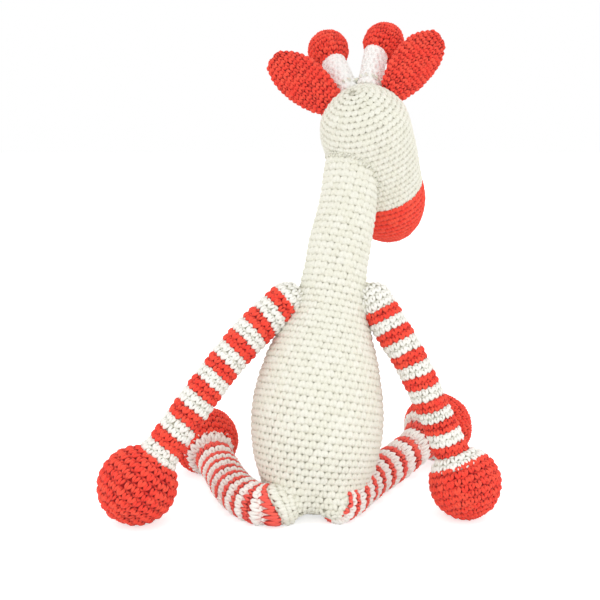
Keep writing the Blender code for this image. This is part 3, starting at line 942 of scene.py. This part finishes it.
def crochet_yarn_group():
    """Plies that twist round a strand, fine fibres, and painted shade between the plies and the
    stitches.
    """
    if "Crochet Yarn" in bpy.data.node_groups:
        return bpy.data.node_groups["Crochet Yarn"]
    group = bpy.data.node_groups.new("Crochet Yarn", "ShaderNodeTree")
    for name, kind, way, default in (
        ("Strand", "NodeSocketVector", "INPUT", None),
        ("Tone", "NodeSocketFloat", "INPUT", 0.5),
        ("Crown", "NodeSocketFloat", "INPUT", 1.0),
        ("Base", "NodeSocketColor", "INPUT", (0.8, 0.8, 0.8, 1)),
        ("Bright", "NodeSocketColor", "INPUT", (0.9, 0.9, 0.9, 1)),
        ("Between Plies", "NodeSocketColor", "INPUT", (0.6, 0.6, 0.6, 1)),
        ("Between Stitches", "NodeSocketColor", "INPUT", (0.4, 0.4, 0.4, 1)),
        ("Plies", "NodeSocketFloat", "INPUT", 4.0),
        ("Twist", "NodeSocketFloat", "INPUT", 0.9),
        ("Relief", "NodeSocketFloat", "INPUT", 0.5),
        ("Color", "NodeSocketColor", "OUTPUT", None),
        ("Normal", "NodeSocketVector", "OUTPUT", None),
    ):
        socket = group.interface.new_socket(name, in_out=way, socket_type=kind)
        if default is not None:
            socket.default_value = default
    nodes, links = group.nodes, group.links
    given, outputs = nodes.new("NodeGroupInput").outputs, nodes.new("NodeGroupOutput").inputs

    def maths(operation, first, second=None):
        node = nodes.new("ShaderNodeMath")
        node.operation = operation
        for socket, value in zip(node.inputs, (first, second)):
            if value is None:
                continue
            if isinstance(value, (int, float)):
                socket.default_value = value
            else:
                links.new(value, socket)
        return node.outputs[0]

    def ramp(value, start, end, low=0.0, kind="SMOOTHSTEP"):
        node = nodes.new("ShaderNodeMapRange")
        node.interpolation_type = kind
        set_inputs(node, {"From Min": start, "From Max": end, "To Min": low})
        links.new(value, node.inputs["Value"])
        return node.outputs["Result"]

    def mix(part, first, second):
        node = nodes.new("ShaderNodeMix")
        node.data_type = "RGBA"
        links.new(part, node.inputs["Factor"])
        links.new(first, node.inputs["A"])
        links.new(second, node.inputs["B"])
        return node.outputs["Result"]

    parts = nodes.new("ShaderNodeSeparateXYZ")
    links.new(given["Strand"], parts.inputs[0])
    along = maths("MULTIPLY", parts.outputs["X"], given["Twist"])
    around = maths("MULTIPLY", parts.outputs["Y"], given["Plies"])
    ply = maths("ABSOLUTE", maths("SINE", maths("MULTIPLY", maths("ADD", along, around), math.pi)))
    noise = nodes.new("ShaderNodeTexNoise")
    set_inputs(noise, {"Scale": 1400, "Detail": 3, "Roughness": 0.6})
    places = nodes.new("ShaderNodeTexCoord")
    links.new(places.outputs["Object"], noise.inputs["Vector"])
    fibre = noise.outputs["Fac"]
    bump = nodes.new("ShaderNodeBump")
    bump.inputs["Distance"].default_value = 0.00025
    links.new(given["Relief"], bump.inputs["Strength"])
    links.new(maths("ADD", ply, maths("MULTIPLY", fibre, 0.6)), bump.inputs["Height"])
    links.new(bump.outputs["Normal"], outputs["Normal"])
    # Painted shade in the grooves between the plies
    plied = mix(ramp(ply, 0, 0.55, 0.35, "LINEAR"), given["Between Plies"], given["Base"])
    fluffed = mix(maths("MULTIPLY", given["Tone"], fibre), plied, given["Bright"])
    # Painted shade between the stitches, deepest where the yarn lies lowest
    unshaded = ramp(given["Crown"], 0.12, 0.80)
    links.new(mix(unshaded, given["Between Stitches"], fluffed), outputs["Color"])
    return group


def yarn_material(name, base, gap_shade, ply=0.8, fluff=(1, 1, 1)):
    """Cotton yarn with painted shade between plies and stitches, bright where it is fluffed.

    The colour after base is the painted shade between the stitches, ply is how light the painted
    shade between its plies leaves the yarn, and fluff is the colour that its loose fibres take it
    towards.
    """
    if name in bpy.data.materials:
        return bpy.data.materials[name]
    cotton = {
        "Roughness": 0.88,
        "Specular IOR Level": 0.25,
        "Sheen Weight": 0.10,
        "Sheen Roughness": 0.5,
    }
    material, nodes, links, shader = new_material(name, cotton)
    yarn = nodes.new("ShaderNodeGroup")
    yarn.node_tree = crochet_yarn_group()
    strand = nodes.new("ShaderNodeUVMap")
    strand.uv_map = "Strand"
    links.new(strand.outputs["UV"], yarn.inputs["Strand"])
    for socket, attribute in (("Tone", "tone"), ("Crown", "crown")):
        values = nodes.new("ShaderNodeAttribute")
        values.attribute_name = attribute
        links.new(values.outputs["Fac"], yarn.inputs[socket])
    for socket, shade in (
        ("Base", base),
        ("Bright", mixed(base, fluff, 0.35)),
        ("Between Plies", mixed((0, 0, 0), base, ply)),
        ("Between Stitches", gap_shade),
    ):
        yarn.inputs[socket].default_value = (*shade, 1)
    links.new(yarn.outputs["Color"], shader.inputs["Base Color"])
    links.new(yarn.outputs["Normal"], shader.inputs["Normal"])
    return material


def mixed(first, second, part):
    return tuple(a + (b - a) * part for a, b in zip(first, second))


def yarns(cream="cream"):
    """Cream and red yarn, each again painted darker for the skin as painted shade under the
    stitches, and the body's cream again.

    cream may be the cream of the arms, the legs or the sleek horns, each painted lighter than the
    body's as painted light.
    """
    yarn = settings()[0]
    # base starts as the cream painted lighter, as painted light on the limbs and horns; inside is
    # the cream painted darker, as painted shade in the holes and on the skin
    base, inside = yarn.lit_cream, yarn.cream_shade
    coral_name, coral = "coral", yarn.red
    # Each branch also sets the painted shade between the stitches, lighter on the limbs and horns
    if cream == "cream":
        base, gap_shade = yarn.cream, inside
    # The legs' cream and coral, painted lighter as painted light, the cream a little pink
    elif cream == "soft cream":
        base, gap_shade, inside = (mixed(base, coral, part) for part in (0.02, 0.18, 0.24))
        coral_name, coral = "soft coral", mixed(coral, yarn.lit_cream, 0.07)
    # The horns' cream, painted lighter still as painted light
    elif cream == "sleek cream":
        base = mixed(base, (1, 1, 1), 0.5)
        gap_shade = inside = mixed(inside, base, 0.85)
    else:
        gap_shade = mixed(inside, base, 0.1)
    return [
        yarn_material(cream + " cotton", base, gap_shade),
        yarn_material(coral_name + " cotton", coral, yarn.red_shade, 0.62, (1.0, 0.26, 0.13)),
        # The skins take the yarns painted darker, as painted shade under the stitches
        yarn_material(cream + " inside", inside, inside),
        yarn_material("coral inside", yarn.red_shade, yarn.red_shade),
        yarn_material("cream cotton", yarn.cream, yarn.cream_shade),
    ]


# The forms of this toy


def body_form():
    _, form, _ = settings()
    swell = form.belly_radius - form.neck_radius
    rows = []
    for height, side, forward, plump in BODY_SHARES:
        x, y = -form.lean_side * side, -form.lean_forward * forward
        rows.append((x, y, form.body_height * height, form.neck_radius + swell * plump))
    rows = smooth_curve(rows, steps=6)[::-1]
    dome = form.neck_radius / 2
    radii, domes = rows[:, 3], (dome, form.press)
    body = Form(rows[:, :3], radii, radii, (1, 0, 0), domes, smooth=BODY_SMOOTHING)
    for side in SIDES_OF_TOY:
        hip, shoulder = joint_lines("hip_" + side)[0], joint_lines("shoulder_" + side)[0]
        for place, radius, (less, fillet) in (
            (hip, form.leg_radius, HIP_SWELL),
            (shoulder, form.shoulder_radius, SHOULDER_SWELL),
        ):
            body.swells.append((place, radius - less, fillet))
    heights = body.table[:, 2] / form.body_height
    lean = form.round_lean * np.interp(heights, *np.array(ROUND_LEAN_SHARES).T)
    drop = np.tan(lean) * body.table[:, WIDE]

    def slant(down, angle):
        """Rounds on the belly lie lower on the right than square to the body."""
        return -np.interp(down, body.down, drop) * np.cos(angle)

    body.slant = slant
    return body


def head_ways():
    """The head's own left, back and top directions."""
    _, form, _ = settings()
    yaw = turned_about((0, 0, 1), form.head_yaw)
    pitch = turned_about((1, 0, 0), form.head_pitch)
    roll = turned_about((0, 1, 0), form.head_roll)
    return yaw @ pitch @ roll


def skull_centre():
    _, form, _ = settings()
    top, way = joint_lines("head_turn")
    return top + way * form.skull_rise + np.array((-form.skull_side, 0, 0))


def head_form():
    """Muzzle tip to the back of the skull, as it is worked."""
    _, form, _ = settings()
    left, back, _ = head_ways().T
    shares = np.linspace(1, 0, 9)
    centres = skull_centre() - back * (form.snout_length * shares)[:, None]
    radii = form.skull_radius - (form.skull_radius - form.muzzle_radius) * shares**2
    collar = form.muzzle_length * COLLAR_SHARE
    tip = skull_centre() - back * (form.snout_length + collar)
    centres, radii = np.vstack((tip, centres)), np.concatenate(([form.muzzle_radius], radii))
    dome = form.muzzle_length - collar
    whole = Form(centres, radii, radii, left, (dome, form.skull_radius))
    ahead = (skull_centre() - whole.table[:, CENTRE]) @ back
    return whole, float(np.interp(-form.snout_length, -ahead, whole.down))


def ball_form(centre, radius, way):
    """A ball worked from the pole that way points at to the opposite one."""
    centre, way = np.asarray(centre, dtype=float), unit(way)
    angles = np.linspace(BALL_POLE_ANGLE, math.pi - BALL_POLE_ANGLE, BALL_STEPS)
    centres = centre + way * (radius * np.cos(angles))[:, None]
    radii = radius * np.sin(angles)
    return Form(centres, radii, radii, (0, 1, 0.1), (None, None))


def hand_place(side):
    _, form, _ = settings()
    radius = form.hand_radius * HAND_SIZE_SHARES[side]
    x = SIGNS[side] * form.hand_out * HAND_OUT_SHARES[side]
    return np.array((x, form.hand_back * HAND_BACK_SHARES[side], radius - form.press)), radius


def over_ball(rows, ball):
    """Radii of a tube that widens over the ball at its end."""
    centre, radius = ball
    apart = np.linalg.norm(rows[:, :3] - centre, axis=1)
    return np.maximum(rows[:, 3], np.sqrt(np.maximum(radius**2 - apart**2, 0)) + BALL_COVER)


def arm_form(side):
    """Hand to shoulder, as it is worked."""
    _, form, _ = settings()
    (shoulder, _), (hand, _) = joint_lines("shoulder_" + side), hand_place(side)
    way = unit(hand - shoulder)
    outward = unit(np.array((0, 0, 1)) - way * way[2])
    points = [
        (*(hand + (shoulder - hand) * on_way + outward * out), radius)
        for on_way, out, radius in ARM_ROUTES[side]
    ]
    rows = smooth_curve(points, steps=8)
    domes = (None, rows[-1, 3])
    radii = over_ball(rows, hand_place(side))
    arm = Form(rows[:, :3], radii, radii, (0, 1, 0), domes)
    arm.slant = lambda down, angle: -ARM_SAGS[side] * np.cos(angle)
    return arm


def foot_place(side):
    _, form, _ = settings()
    radius = form.foot_radius * FOOT_SIZE_SHARES[side]
    lift = form.foot_lift if side == "right" else -form.press
    x = SIGNS[side] * form.foot_out * FOOT_OUT_SHARES[side]
    y = -form.foot_forward * FOOT_FORWARD_SHARES[side]
    return np.array((x, y, radius + lift)), radius


def leg_form(side):
    """Foot to hip, as it is worked."""
    _, form, _ = settings()
    foot, ball = foot_place(side)
    low = form.leg_radius - form.press
    rows = []
    for across, back, on_way in LEG_SHARES[side]:
        start = np.array((across, back, 0)) * form.belly_radius
        point = start + (foot - start) * on_way
        point[2] = low + (foot[2] - low) * on_way**3
        rows.append(point)
    centres = smooth_curve([*rows, foot], steps=10)[::-1]
    rows = np.hstack((centres, np.full((len(centres), 1), form.leg_radius)))
    radii = over_ball(rows, (foot, ball))
    leg = Form(centres, radii, radii, (0, 0, 1), (None, form.hip_depth))
    last = leg.down_at(LEG_BANDS[side][-1])

    def slant(down, angle):
        """Rounds near the hip lean, since the leg bends down out of the seat there."""
        near = np.clip((down - last + HIP_LEAN_BEFORE) / HIP_LEAN_REACH, 0, 1)
        return -HIP_LEANS[side] * np.cos(angle) * near * near * (3 - 2 * near)

    leg.slant = slant
    return leg


def horn_lines(side):
    _, form, _ = settings()
    ways = head_ways()
    way = unit(ways @ np.array(HORN_WAY_SHARES[side]))
    root = skull_centre() + unit(ways @ np.array(HORN_ROOT_SHARES[side])) * form.skull_radius
    knob = root + way * form.stalk_reach
    root_shift, rim_shift, knob_shift = (np.array((x, 0, z)) for x, z in HORN_SHIFTS[side])
    rim = knob - way * (form.knob_radius * STALK_END_SHARE)
    return root - way * STALK_SUNK + root_shift, rim + rim_shift, knob + knob_shift


def ear_form(side):
    """Tip to root of an ear, as it is worked."""
    _, form, _ = settings()
    pivot, _ = joint_lines(f"ear_{side}_flap")
    way = unit(head_ways() @ np.array(EAR_WAY_SHARES[side]))
    wide_way = np.array((0, 0, 1)) - way * way[2]
    table = smooth_curve(EAR_LEAF_SHARES, steps=6)[::-1]
    long, bend = EAR_BENDS[side]
    up = unit(wide_way) * form.ear_length * bend
    centres = pivot + way * (table[:, 0] * form.ear_length * long)[:, None]
    centres += up * np.clip(table[:, :1] / EAR_BEND_REACH, 0, 1)
    wide, thick = table[:, 1] * form.ear_width / 2, table[:, 2] * form.ear_thickness / 2
    tip = form.ear_length * long * (1 - EAR_LEAF_SHARES[-1][0])
    root = form.ear_thickness / 2
    return Form(centres, wide, thick, wide_way, (tip, root))


def stalk_form(side, taper=(1, 1)):
    """Ball to root of a horn's stalk, as it is worked."""
    _, form, _ = settings()
    root, rim, _ = horn_lines(side)
    centres = rim + (root - rim) * np.linspace(0, 1, 12)[:, None]
    radii = form.stalk_radius * np.linspace(*taper, 12)
    return Form(centres, radii, radii, (0, 1, 0.1), (None, None))


# Crocheted pieces


def present(piece, body, node, fill):
    """Hangs a crocheted piece on the body that it rides on and hides the part that it stands for.

    fill, how full the piece is, is not used.
    """
    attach(piece, body)
    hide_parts(node)


def one_yarn_piece(
    node, body, form, yarn, levels, seed, sides, step=0.004, end=None, fill=0.9, creams="cream",
    **ways
):
    """A piece in one yarn: a skin down to end, or to the last round, and the rounds over it.

    sides and step are those of the skin, fill is how full the piece is stuffed and is not used,
    creams names the cream yarns, and ways are what crochet is given besides.
    """
    work = Yarnwork(node + "_crochet")
    work.add_skin(form, levels[0], levels[-1] if end is None else end, only(yarn), sides, step)
    crochet(work, form, levels, only(yarn), seed, **ways)
    present(work.finish(yarns(creams)), body, node, fill)


def rounds_to(ball, radius, distance, height):
    """Rounds of a ball from its far pole to where a tube starts, distance from its centre."""
    end = radius * (math.pi - math.acos(min(distance / radius, 1)))
    return even_levels(0, min(end, ball.length), height)


def limb(kind, side, form, ball, levels):
    """A striped tube and the ball on its end, both riding on one body.

    ball holds the ball's centre and radius and how far from the centre the tube starts, and
    levels are the limits of the banded rounds.
    """
    yarn, (centre, radius, start) = settings()[0], ball
    ball_node, band, bands, creams, plain, style, seed = LIMBS[kind]
    seed += 4 * SIDES_OF_TOY.index(side)
    striped = 2 * band * len(bands[side])
    rest = max(round((form.length - levels[-1]) / yarn.row_height), striped + 2 - len(levels))
    levels = np.concatenate((levels, np.linspace(levels[-1], form.length, rest + 1)[1:]))

    def slot_of_row(row):
        return RED if row % (2 * band) >= band and row < striped else CREAM

    def slot_at(down):
        row = int(np.searchsorted(levels, down)) - 1
        return slot_of_row(min(max(row, 0), len(levels) - 2))

    node = f"{kind}_{side}"
    work = Yarnwork(node + "_crochet")
    work.add_skin(form, levels[0] - SKIN_OVERLAP, form.length, slot_at, 48, yarn.row_height / 2)
    crochet(work, form, levels[: striped + 1], slot_of_row, seed)
    crochet(work, form, levels[striped:], only(plain), seed + 2, style=style)
    present(work.finish(yarns(creams)), node, node, 0.9)

    ball = ball_form(centre, radius, -form.read(0.0)[WAY])
    levels = rounds_to(ball, radius, start, BALL_ROWS[ball_node, side])
    ball_node = f"{ball_node}_{side}"
    one_yarn_piece(ball_node, node, ball, RED, levels, seed + 1, sides=56, end=ball.length)


def sew(work, tube, other, seed):
    """Whip stitches round a tube where it comes out of another form."""
    yarn = settings()[0]
    rng = np.random.default_rng(seed)
    downs = np.linspace(0.001, tube.length - 0.001, SEAM_STEPS)
    total = max(int(float(tube.girth(downs).mean()) / WHIP_PITCH), FEWEST_WHIPS)
    angles = math.tau * (np.arange(total) + rng.normal(0, WHIP_STRAY, total)) / total
    spots, _ = tube.surface(*np.meshgrid(downs, angles, indexing="ij"))
    inside = other.depth_of(spots) > 0.0
    found = inside.any(axis=0) & ~inside.all(axis=0)
    edge = np.abs(np.diff(inside.astype(int), axis=0)).argmax(axis=0)[found]
    turns, free = angles[found], np.where(inside[0][found], 1.0, -1.0)
    middle = downs[edge]
    reach = WHIP_REACH * rng.uniform(0.8, 1.2, len(turns))
    paths, lifts = [], []
    for along, out, _ in WHIP_STRAND:
        at = np.clip(middle + free * reach * along, 0, tube.length)
        lift = np.full(len(at), out * yarn.stitch_width * WHIP_LIFT)
        points, _ = tube.surface(at, turns + along * WHIP_LEAN, lift)
        paths.append(other.onto(points, lift) if along < 0 else points)
        lifts.append(lift)
    paths, lifts = np.stack(paths, axis=1), np.stack(lifts, axis=1)
    normals = unit(paths[:, 2:4].mean(axis=1) - tube.read(middle)[:, CENTRE])
    normals = np.repeat(normals[:, None], len(WHIP_STRAND), axis=1)
    fatness = np.tile([row[2] for row in WHIP_STRAND], (len(turns), 1))
    fat = yarn.stitch_width * WHIP_FATNESS * fatness
    tones = rng.uniform(0, 1, len(turns))
    work.add_strands(paths, normals, lifts, fat, fat, np.full(len(turns), CREAM), tones)


# Operators


class GIRAFFE_OT_body(bpy.types.Operator):
    """Crochet the body and neck, from the neck down to the seat"""

    bl_idname = "giraffe.body"
    bl_label = "Body and neck"

    def execute(self, context):
        yarn, sizes, _ = settings()
        form, (head, _) = body_form(), head_form()
        front = math.pi * 1.5
        levels = front_levels(form, front, yarn.row_height)
        heights, widths, drifts = np.array(BODY_GAUGE).T

        def gauge(down):
            height = form.read(down)[2] / sizes.body_height
            return np.interp(height, heights, widths), np.interp(height, heights, drifts)

        ways = {"front": front, "hidden_in": head, "gauge": gauge, "style": PLUMP}
        one_yarn_piece("body", "body", form, CREAM, levels, seed=11, sides=72, **ways)
        return {"FINISHED"}


class GIRAFFE_OT_head(bpy.types.Operator):
    """Crochet the head from the red muzzle to the back of the skull"""

    bl_idname = "giraffe.head"
    bl_label = "Head and muzzle"

    def execute(self, context):
        yarn = settings()[0]
        form, seam = head_form()
        gauge = even_gauge(yarn.head_width)
        ways = {"front": math.pi / 2, "hidden_in": body_form(), "gauge": gauge, "style": PLUMP}
        for node, start, end, slot, seed in (
            ("muzzle", 0, seam, RED, 21),
            ("head", seam, form.length, CREAM, 22),
        ):
            levels = even_levels(start, end, yarn.head_height)
            one_yarn_piece(node, "head", form, slot, levels, seed, sides=60, **ways)
        return {"FINISHED"}


class GIRAFFE_OT_horns(bpy.types.Operator):
    """Crochet both horns: a red ball and a sleek cream stalk"""

    bl_idname = "giraffe.horns"
    bl_label = "Horns"

    def execute(self, context):
        yarn, form, _ = settings()
        gauge = even_gauge(yarn.fine_width)
        ways = {"creams": "sleek cream", "hidden_in": head_form()[0], "style": SLEEK}
        for index, side in enumerate(SIDES_OF_TOY):
            root, _, knob = horn_lines(side)
            node = "horn_knob_" + side
            ball = ball_form(knob, form.knob_radius, knob - root)
            levels = even_levels(0, ball.length, yarn.fine_height)
            one_yarn_piece(node, "head", ball, RED, levels, 31 + index, sides=40, gauge=gauge)
            node = "horn_stalk_" + side
            stalk = stalk_form(side, STALK_TAPER)
            levels = even_levels(0, stalk.length, yarn.row_height)
            one_yarn_piece(node, "head", stalk, CREAM, levels, 35 + index, sides=36, **ways)
        return {"FINISHED"}


class GIRAFFE_OT_ears(bpy.types.Operator):
    """Crochet both ears in flattened rounds from tip to root"""

    bl_idname = "giraffe.ears"
    bl_label = "Ears"

    def execute(self, context):
        yarn = settings()[0]
        gauge = even_gauge(yarn.fine_width)
        ways = {"sides": 48, "step": 0.003, "fill": 0.7, "gauge": gauge}
        for index, side in enumerate(SIDES_OF_TOY):
            form, node = ear_form(side), "ear_" + side
            levels = even_levels(0, form.length, yarn.fine_height)
            front = math.pi * (1.5 if side == "left" else 0.5)
            one_yarn_piece(node, node, form, RED, levels, 41 + index, front=front, **ways)
        return {"FINISHED"}


class GIRAFFE_OT_seams(bpy.types.Operator):
    """Sew the head to the neck and the horns to the head with whip stitches"""

    bl_idname = "giraffe.seams"
    bl_label = "Seams"

    def execute(self, context):
        head, _ = head_form()
        work = Yarnwork("head_seams")
        sew(work, body_form(), head, 81)
        for index, side in enumerate(SIDES_OF_TOY):
            sew(work, stalk_form(side), head, 82 + index)
        piece = work.finish(yarns())
        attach(piece, "head")
        return {"FINISHED"}


def eye_material():
    """Black moulded plastic, polished, with faint ripples from the mould."""
    coat = {"Coat Weight": 0.6, "Coat Roughness": 0.03}
    material, nodes, links, shader = new_material("black eye", coat)
    noise = nodes.new("ShaderNodeTexNoise")
    set_inputs(noise, {"Scale": 260})
    places = nodes.new("ShaderNodeTexCoord")
    links.new(places.outputs["Object"], noise.inputs["Vector"])
    gloss = nodes.new("ShaderNodeMapRange")
    set_inputs(gloss, {"To Min": 0.10, "To Max": 0.22})
    links.new(noise.outputs["Fac"], gloss.inputs["Value"])
    links.new(gloss.outputs["Result"], shader.inputs["Roughness"])
    shade = nodes.new("ShaderNodeMix")
    shade.data_type = "RGBA"
    set_inputs(shade, {"A": (0.006, 0.006, 0.007, 1), "B": (0.014, 0.013, 0.013, 1)})
    links.new(noise.outputs["Fac"], shade.inputs["Factor"])
    links.new(shade.outputs["Result"], shader.inputs["Base Color"])
    bump = nodes.new("ShaderNodeBump")
    set_inputs(bump, {"Strength": 0.05, "Distance": 0.0001})
    links.new(noise.outputs["Fac"], bump.inputs["Height"])
    links.new(bump.outputs["Normal"], shader.inputs["Normal"])
    return material


def eye_outline():
    """Out and wide of each ring of an eye, from the neck under its rim to the top of its dome."""
    _, form, _ = settings()
    rim = form.eye_radius * EYE_RIM_SHARE
    outline = [(-EYE_SUNK, form.eye_radius * EYE_NECK_SHARE)]
    for step in range(EYE_RIM_STEPS + 1):
        angle = -math.pi / 2 + math.pi * step / EYE_RIM_STEPS
        out = rim + rim * math.sin(angle)
        outline.append((out, form.eye_radius - rim + rim * math.cos(angle)))
    for step in range(1, EYE_DOME_STEPS):
        angle = math.pi / 2 * step / EYE_DOME_STEPS
        out = rim * 2 + (form.eye_height - rim * 2) * math.sin(angle)
        outline.append((out, (form.eye_radius - rim) * math.cos(angle)))
    return outline


class GIRAFFE_OT_eyes(bpy.types.Operator):
    """Turn both eyes, domed black buttons with a rolled rim"""

    bl_idname = "giraffe.eyes"
    bl_label = "Eyes"

    def execute(self, context):
        _, form, _ = settings()
        ways, material, outline = head_ways(), eye_material(), eye_outline()
        faces, _ = tube_faces(len(outline), EYE_SIDES, 0)
        angles = math.tau * np.arange(EYE_SIDES) / EYE_SIDES
        for side in SIDES_OF_TOY:
            lean = SIGNS[side] * form.eye_angle
            way = unit(ways @ np.array((math.sin(lean), 0, math.cos(lean))))
            place = skull_centre() + ways @ np.array((0, -form.eye_forward, 0))
            place = place + way * form.skull_radius
            level = unit(np.cross(way, (0, 0, 1)))
            beside = np.cross(way, level)
            points = [
                place + way * out + (level * math.cos(angle) + beside * math.sin(angle)) * wide
                for out, wide in outline
                for angle in angles
            ]
            points += [place + way * outline[0][0], place + way * form.eye_height]
            mesh = bpy.data.meshes.new("eye_" + side + "_button")
            mesh.from_pydata([tuple(point) for point in points], [], faces)
            mesh.materials.append(material)
            mesh.shade_smooth()
            piece = bpy.data.objects.new("eye_" + side + "_button", mesh)
            context.scene.collection.objects.link(piece)
            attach(piece, "head")
            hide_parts("eye_" + side)
        return {"FINISHED"}


class GIRAFFE_OT_arms(bpy.types.Operator):
    """Crochet both arms in bands of two rounds, with a ball for a hand"""

    bl_idname = "giraffe.arms"
    bl_label = "Arms"

    def execute(self, context):
        for side in SIDES_OF_TOY:
            form, middles = arm_form(side), np.array(ARM_BANDS[side])
            start = middles[0] - (middles[1] - middles[0]) * ARM_START_SHARE
            end = middles[-1] + settings()[0].row_height
            marks = np.concatenate(((start,), middles, (end,)))
            rounds = np.concatenate(((0,), 3 + 4 * np.arange(len(middles)), (4 * len(middles),)))
            levels = form.down_at(np.interp(np.arange(rounds[-1] + 1), rounds, marks))
            limb("arm", side, form, (*hand_place(side), start), levels)
        return {"FINISHED"}


class GIRAFFE_OT_legs(bpy.types.Operator):
    """Crochet both legs in bands of one round, with a ball for a foot"""

    bl_idname = "giraffe.legs"
    bl_label = "Legs"

    def execute(self, context):
        first, second = LEG_START_ROWS
        for side in SIDES_OF_TOY:
            form, middles = leg_form(side), np.array(LEG_BANDS[side])
            between = (middles[1:] + middles[:-1]) / 2
            rounds = np.sort(np.concatenate((middles, between)))
            limits = (rounds[1:] + rounds[:-1]) / 2
            spread = np.where(np.arange(len(limits)) % 2, RED_SPREAD, -RED_SPREAD)
            limits += spread * np.diff(rounds)
            start = limits[0] - min(limits[1] - limits[0], second)
            limits = np.concatenate(((start - first, start), limits))
            limb("leg", side, form, (*foot_place(side), limits[0]), form.down_at(limits))
        return {"FINISHED"}


def seen_plainly(nodes, links):
    """1 for what the camera and its reflections see, and 0 for other light."""
    path = nodes.new("ShaderNodeLightPath")
    seen = nodes.new("ShaderNodeMath")
    seen.operation = "MAXIMUM"
    links.new(path.outputs["Is Camera Ray"], seen.inputs[0])
    links.new(path.outputs["Is Glossy Ray"], seen.inputs[1])
    return seen.outputs[0]


def floor_material(glow):
    """A matt white that the camera and reflections see lifted towards white."""
    white = {
        "Base Color": (0.8, 0.8, 0.8, 1),
        "Roughness": 0.9,
        "Specular IOR Level": 0.1,
        "Emission Color": (1, 1, 1, 1),
    }
    material, nodes, links, shader = new_material("white floor", white)
    level = nodes.new("ShaderNodeMath")
    level.operation = "MULTIPLY"
    level.inputs[1].default_value = glow
    links.new(seen_plainly(nodes, links), level.inputs[0])
    links.new(level.outputs[0], shader.inputs["Emission Strength"])
    return material


def studio_world(strength):
    """White light all round, which the camera and reflections see at full white."""
    world = bpy.data.worlds.new("studio")
    world.use_nodes = True
    nodes, links = world.node_tree.nodes, world.node_tree.links
    level = nodes.new("ShaderNodeMapRange")
    set_inputs(level, {"To Min": strength, "To Max": 1.0})
    links.new(seen_plainly(nodes, links), level.inputs["Value"])
    links.new(level.outputs["Result"], nodes["Background"].inputs["Strength"])
    set_inputs(nodes["Background"], {"Color": (1, 1, 1, 1)})
    return world


def area_light(name, place, target, size, energy):
    light = bpy.data.lights.new(name, "AREA")
    light.shape = "DISK"
    light.size = size
    light.energy = energy
    item = bpy.data.objects.new(name, light)
    item.location = place
    away = np.asarray(place, dtype=float) - np.asarray(target, dtype=float)
    flat = math.hypot(away[0], away[1])
    item.rotation_euler = (math.atan2(flat, away[2]), 0, math.atan2(away[0], -away[1]))
    bpy.context.scene.collection.objects.link(item)


class GIRAFFE_OT_stage(bpy.types.Operator):
    """Set the camera, the white floor and the soft studio light"""

    bl_idname = "giraffe.stage"
    bl_label = "Stage"

    def execute(self, context):
        stage = settings()[2]
        scene = context.scene
        camera = bpy.data.cameras.new("camera")
        camera.lens_unit = "MILLIMETERS"
        camera.sensor_width = 36
        camera.lens = stage.focal * 1000
        view = bpy.data.objects.new("camera", camera)
        view.location = (stage.camera_side, stage.camera_back, stage.camera_height)
        view.rotation_euler = (math.pi / 2 - stage.camera_tilt, 0, math.pi)
        scene.collection.objects.link(view)
        scene.camera = view

        reach = stage.floor_reach
        mesh = bpy.data.meshes.new("floor")
        corners = ((-1, -1), (1, -1), (1, 1), (-1, 1))
        mesh.from_pydata([(x * reach, y * reach, 0) for x, y in corners], [], [(0, 1, 2, 3)])
        mesh.materials.append(floor_material(stage.floor_glow))
        floor = bpy.data.objects.new("floor", mesh)
        scene.collection.objects.link(floor)
        floor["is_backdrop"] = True

        scene.world = studio_world(stage.world_level)
        for name, (place, target, size, energy) in LAMPS.items():
            area_light(name, place, target, size, getattr(stage, energy))
        scene.view_settings.view_transform = "Standard"
        return {"FINISHED"}


OPERATORS = (
    GIRAFFE_OT_body,
    GIRAFFE_OT_head,
    GIRAFFE_OT_horns,
    GIRAFFE_OT_ears,
    GIRAFFE_OT_seams,
    GIRAFFE_OT_eyes,
    GIRAFFE_OT_arms,
    GIRAFFE_OT_legs,
    GIRAFFE_OT_stage,
)


class GIRAFFE_PT_panel(bpy.types.Panel):
    """Everything that builds the giraffe"""

    bl_idname = "GIRAFFE_PT_panel"
    bl_label = "Crocheted Giraffe"
    bl_space_type = "VIEW_3D"
    bl_region_type = "UI"
    bl_category = "Giraffe"

    def draw(self, context):
        layout = self.layout
        for operator in OPERATORS:
            layout.operator(operator.bl_idname)
        for group in settings():
            box = layout.box()
            for name in group.__annotations__:
                box.prop(group, name)


CLASSES = (YarnSettings, FormSettings, StageSettings, *OPERATORS, GIRAFFE_PT_panel)


def register():
    for item in CLASSES:
        bpy.utils.register_class(item)
    bpy.types.Scene.giraffe_yarn = bpy.props.PointerProperty(type=YarnSettings)
    bpy.types.Scene.giraffe_form = bpy.props.PointerProperty(type=FormSettings)
    bpy.types.Scene.giraffe_stage = bpy.props.PointerProperty(type=StageSettings)


def unregister():
    for name in ("giraffe_yarn", "giraffe_form", "giraffe_stage"):
        delattr(bpy.types.Scene, name)
    for item in reversed(CLASSES):
        bpy.utils.unregister_class(item)


def plain(bounds):
    return [[float(value) for value in corner] for corner in bounds]


def main():
    register()
    bpy.ops.giraffe.body()
    bpy.ops.giraffe.head()
    bpy.ops.giraffe.horns()
    bpy.ops.giraffe.ears()
    bpy.ops.giraffe.seams()
    bpy.ops.giraffe.eyes()
    bpy.ops.giraffe.arms()
    bpy.ops.giraffe.legs()
    bpy.ops.giraffe.stage()
    {"cad": plain(CAD_BOUNDS), "visual": plain(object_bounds())}


if __name__ == "__main__":
    main()
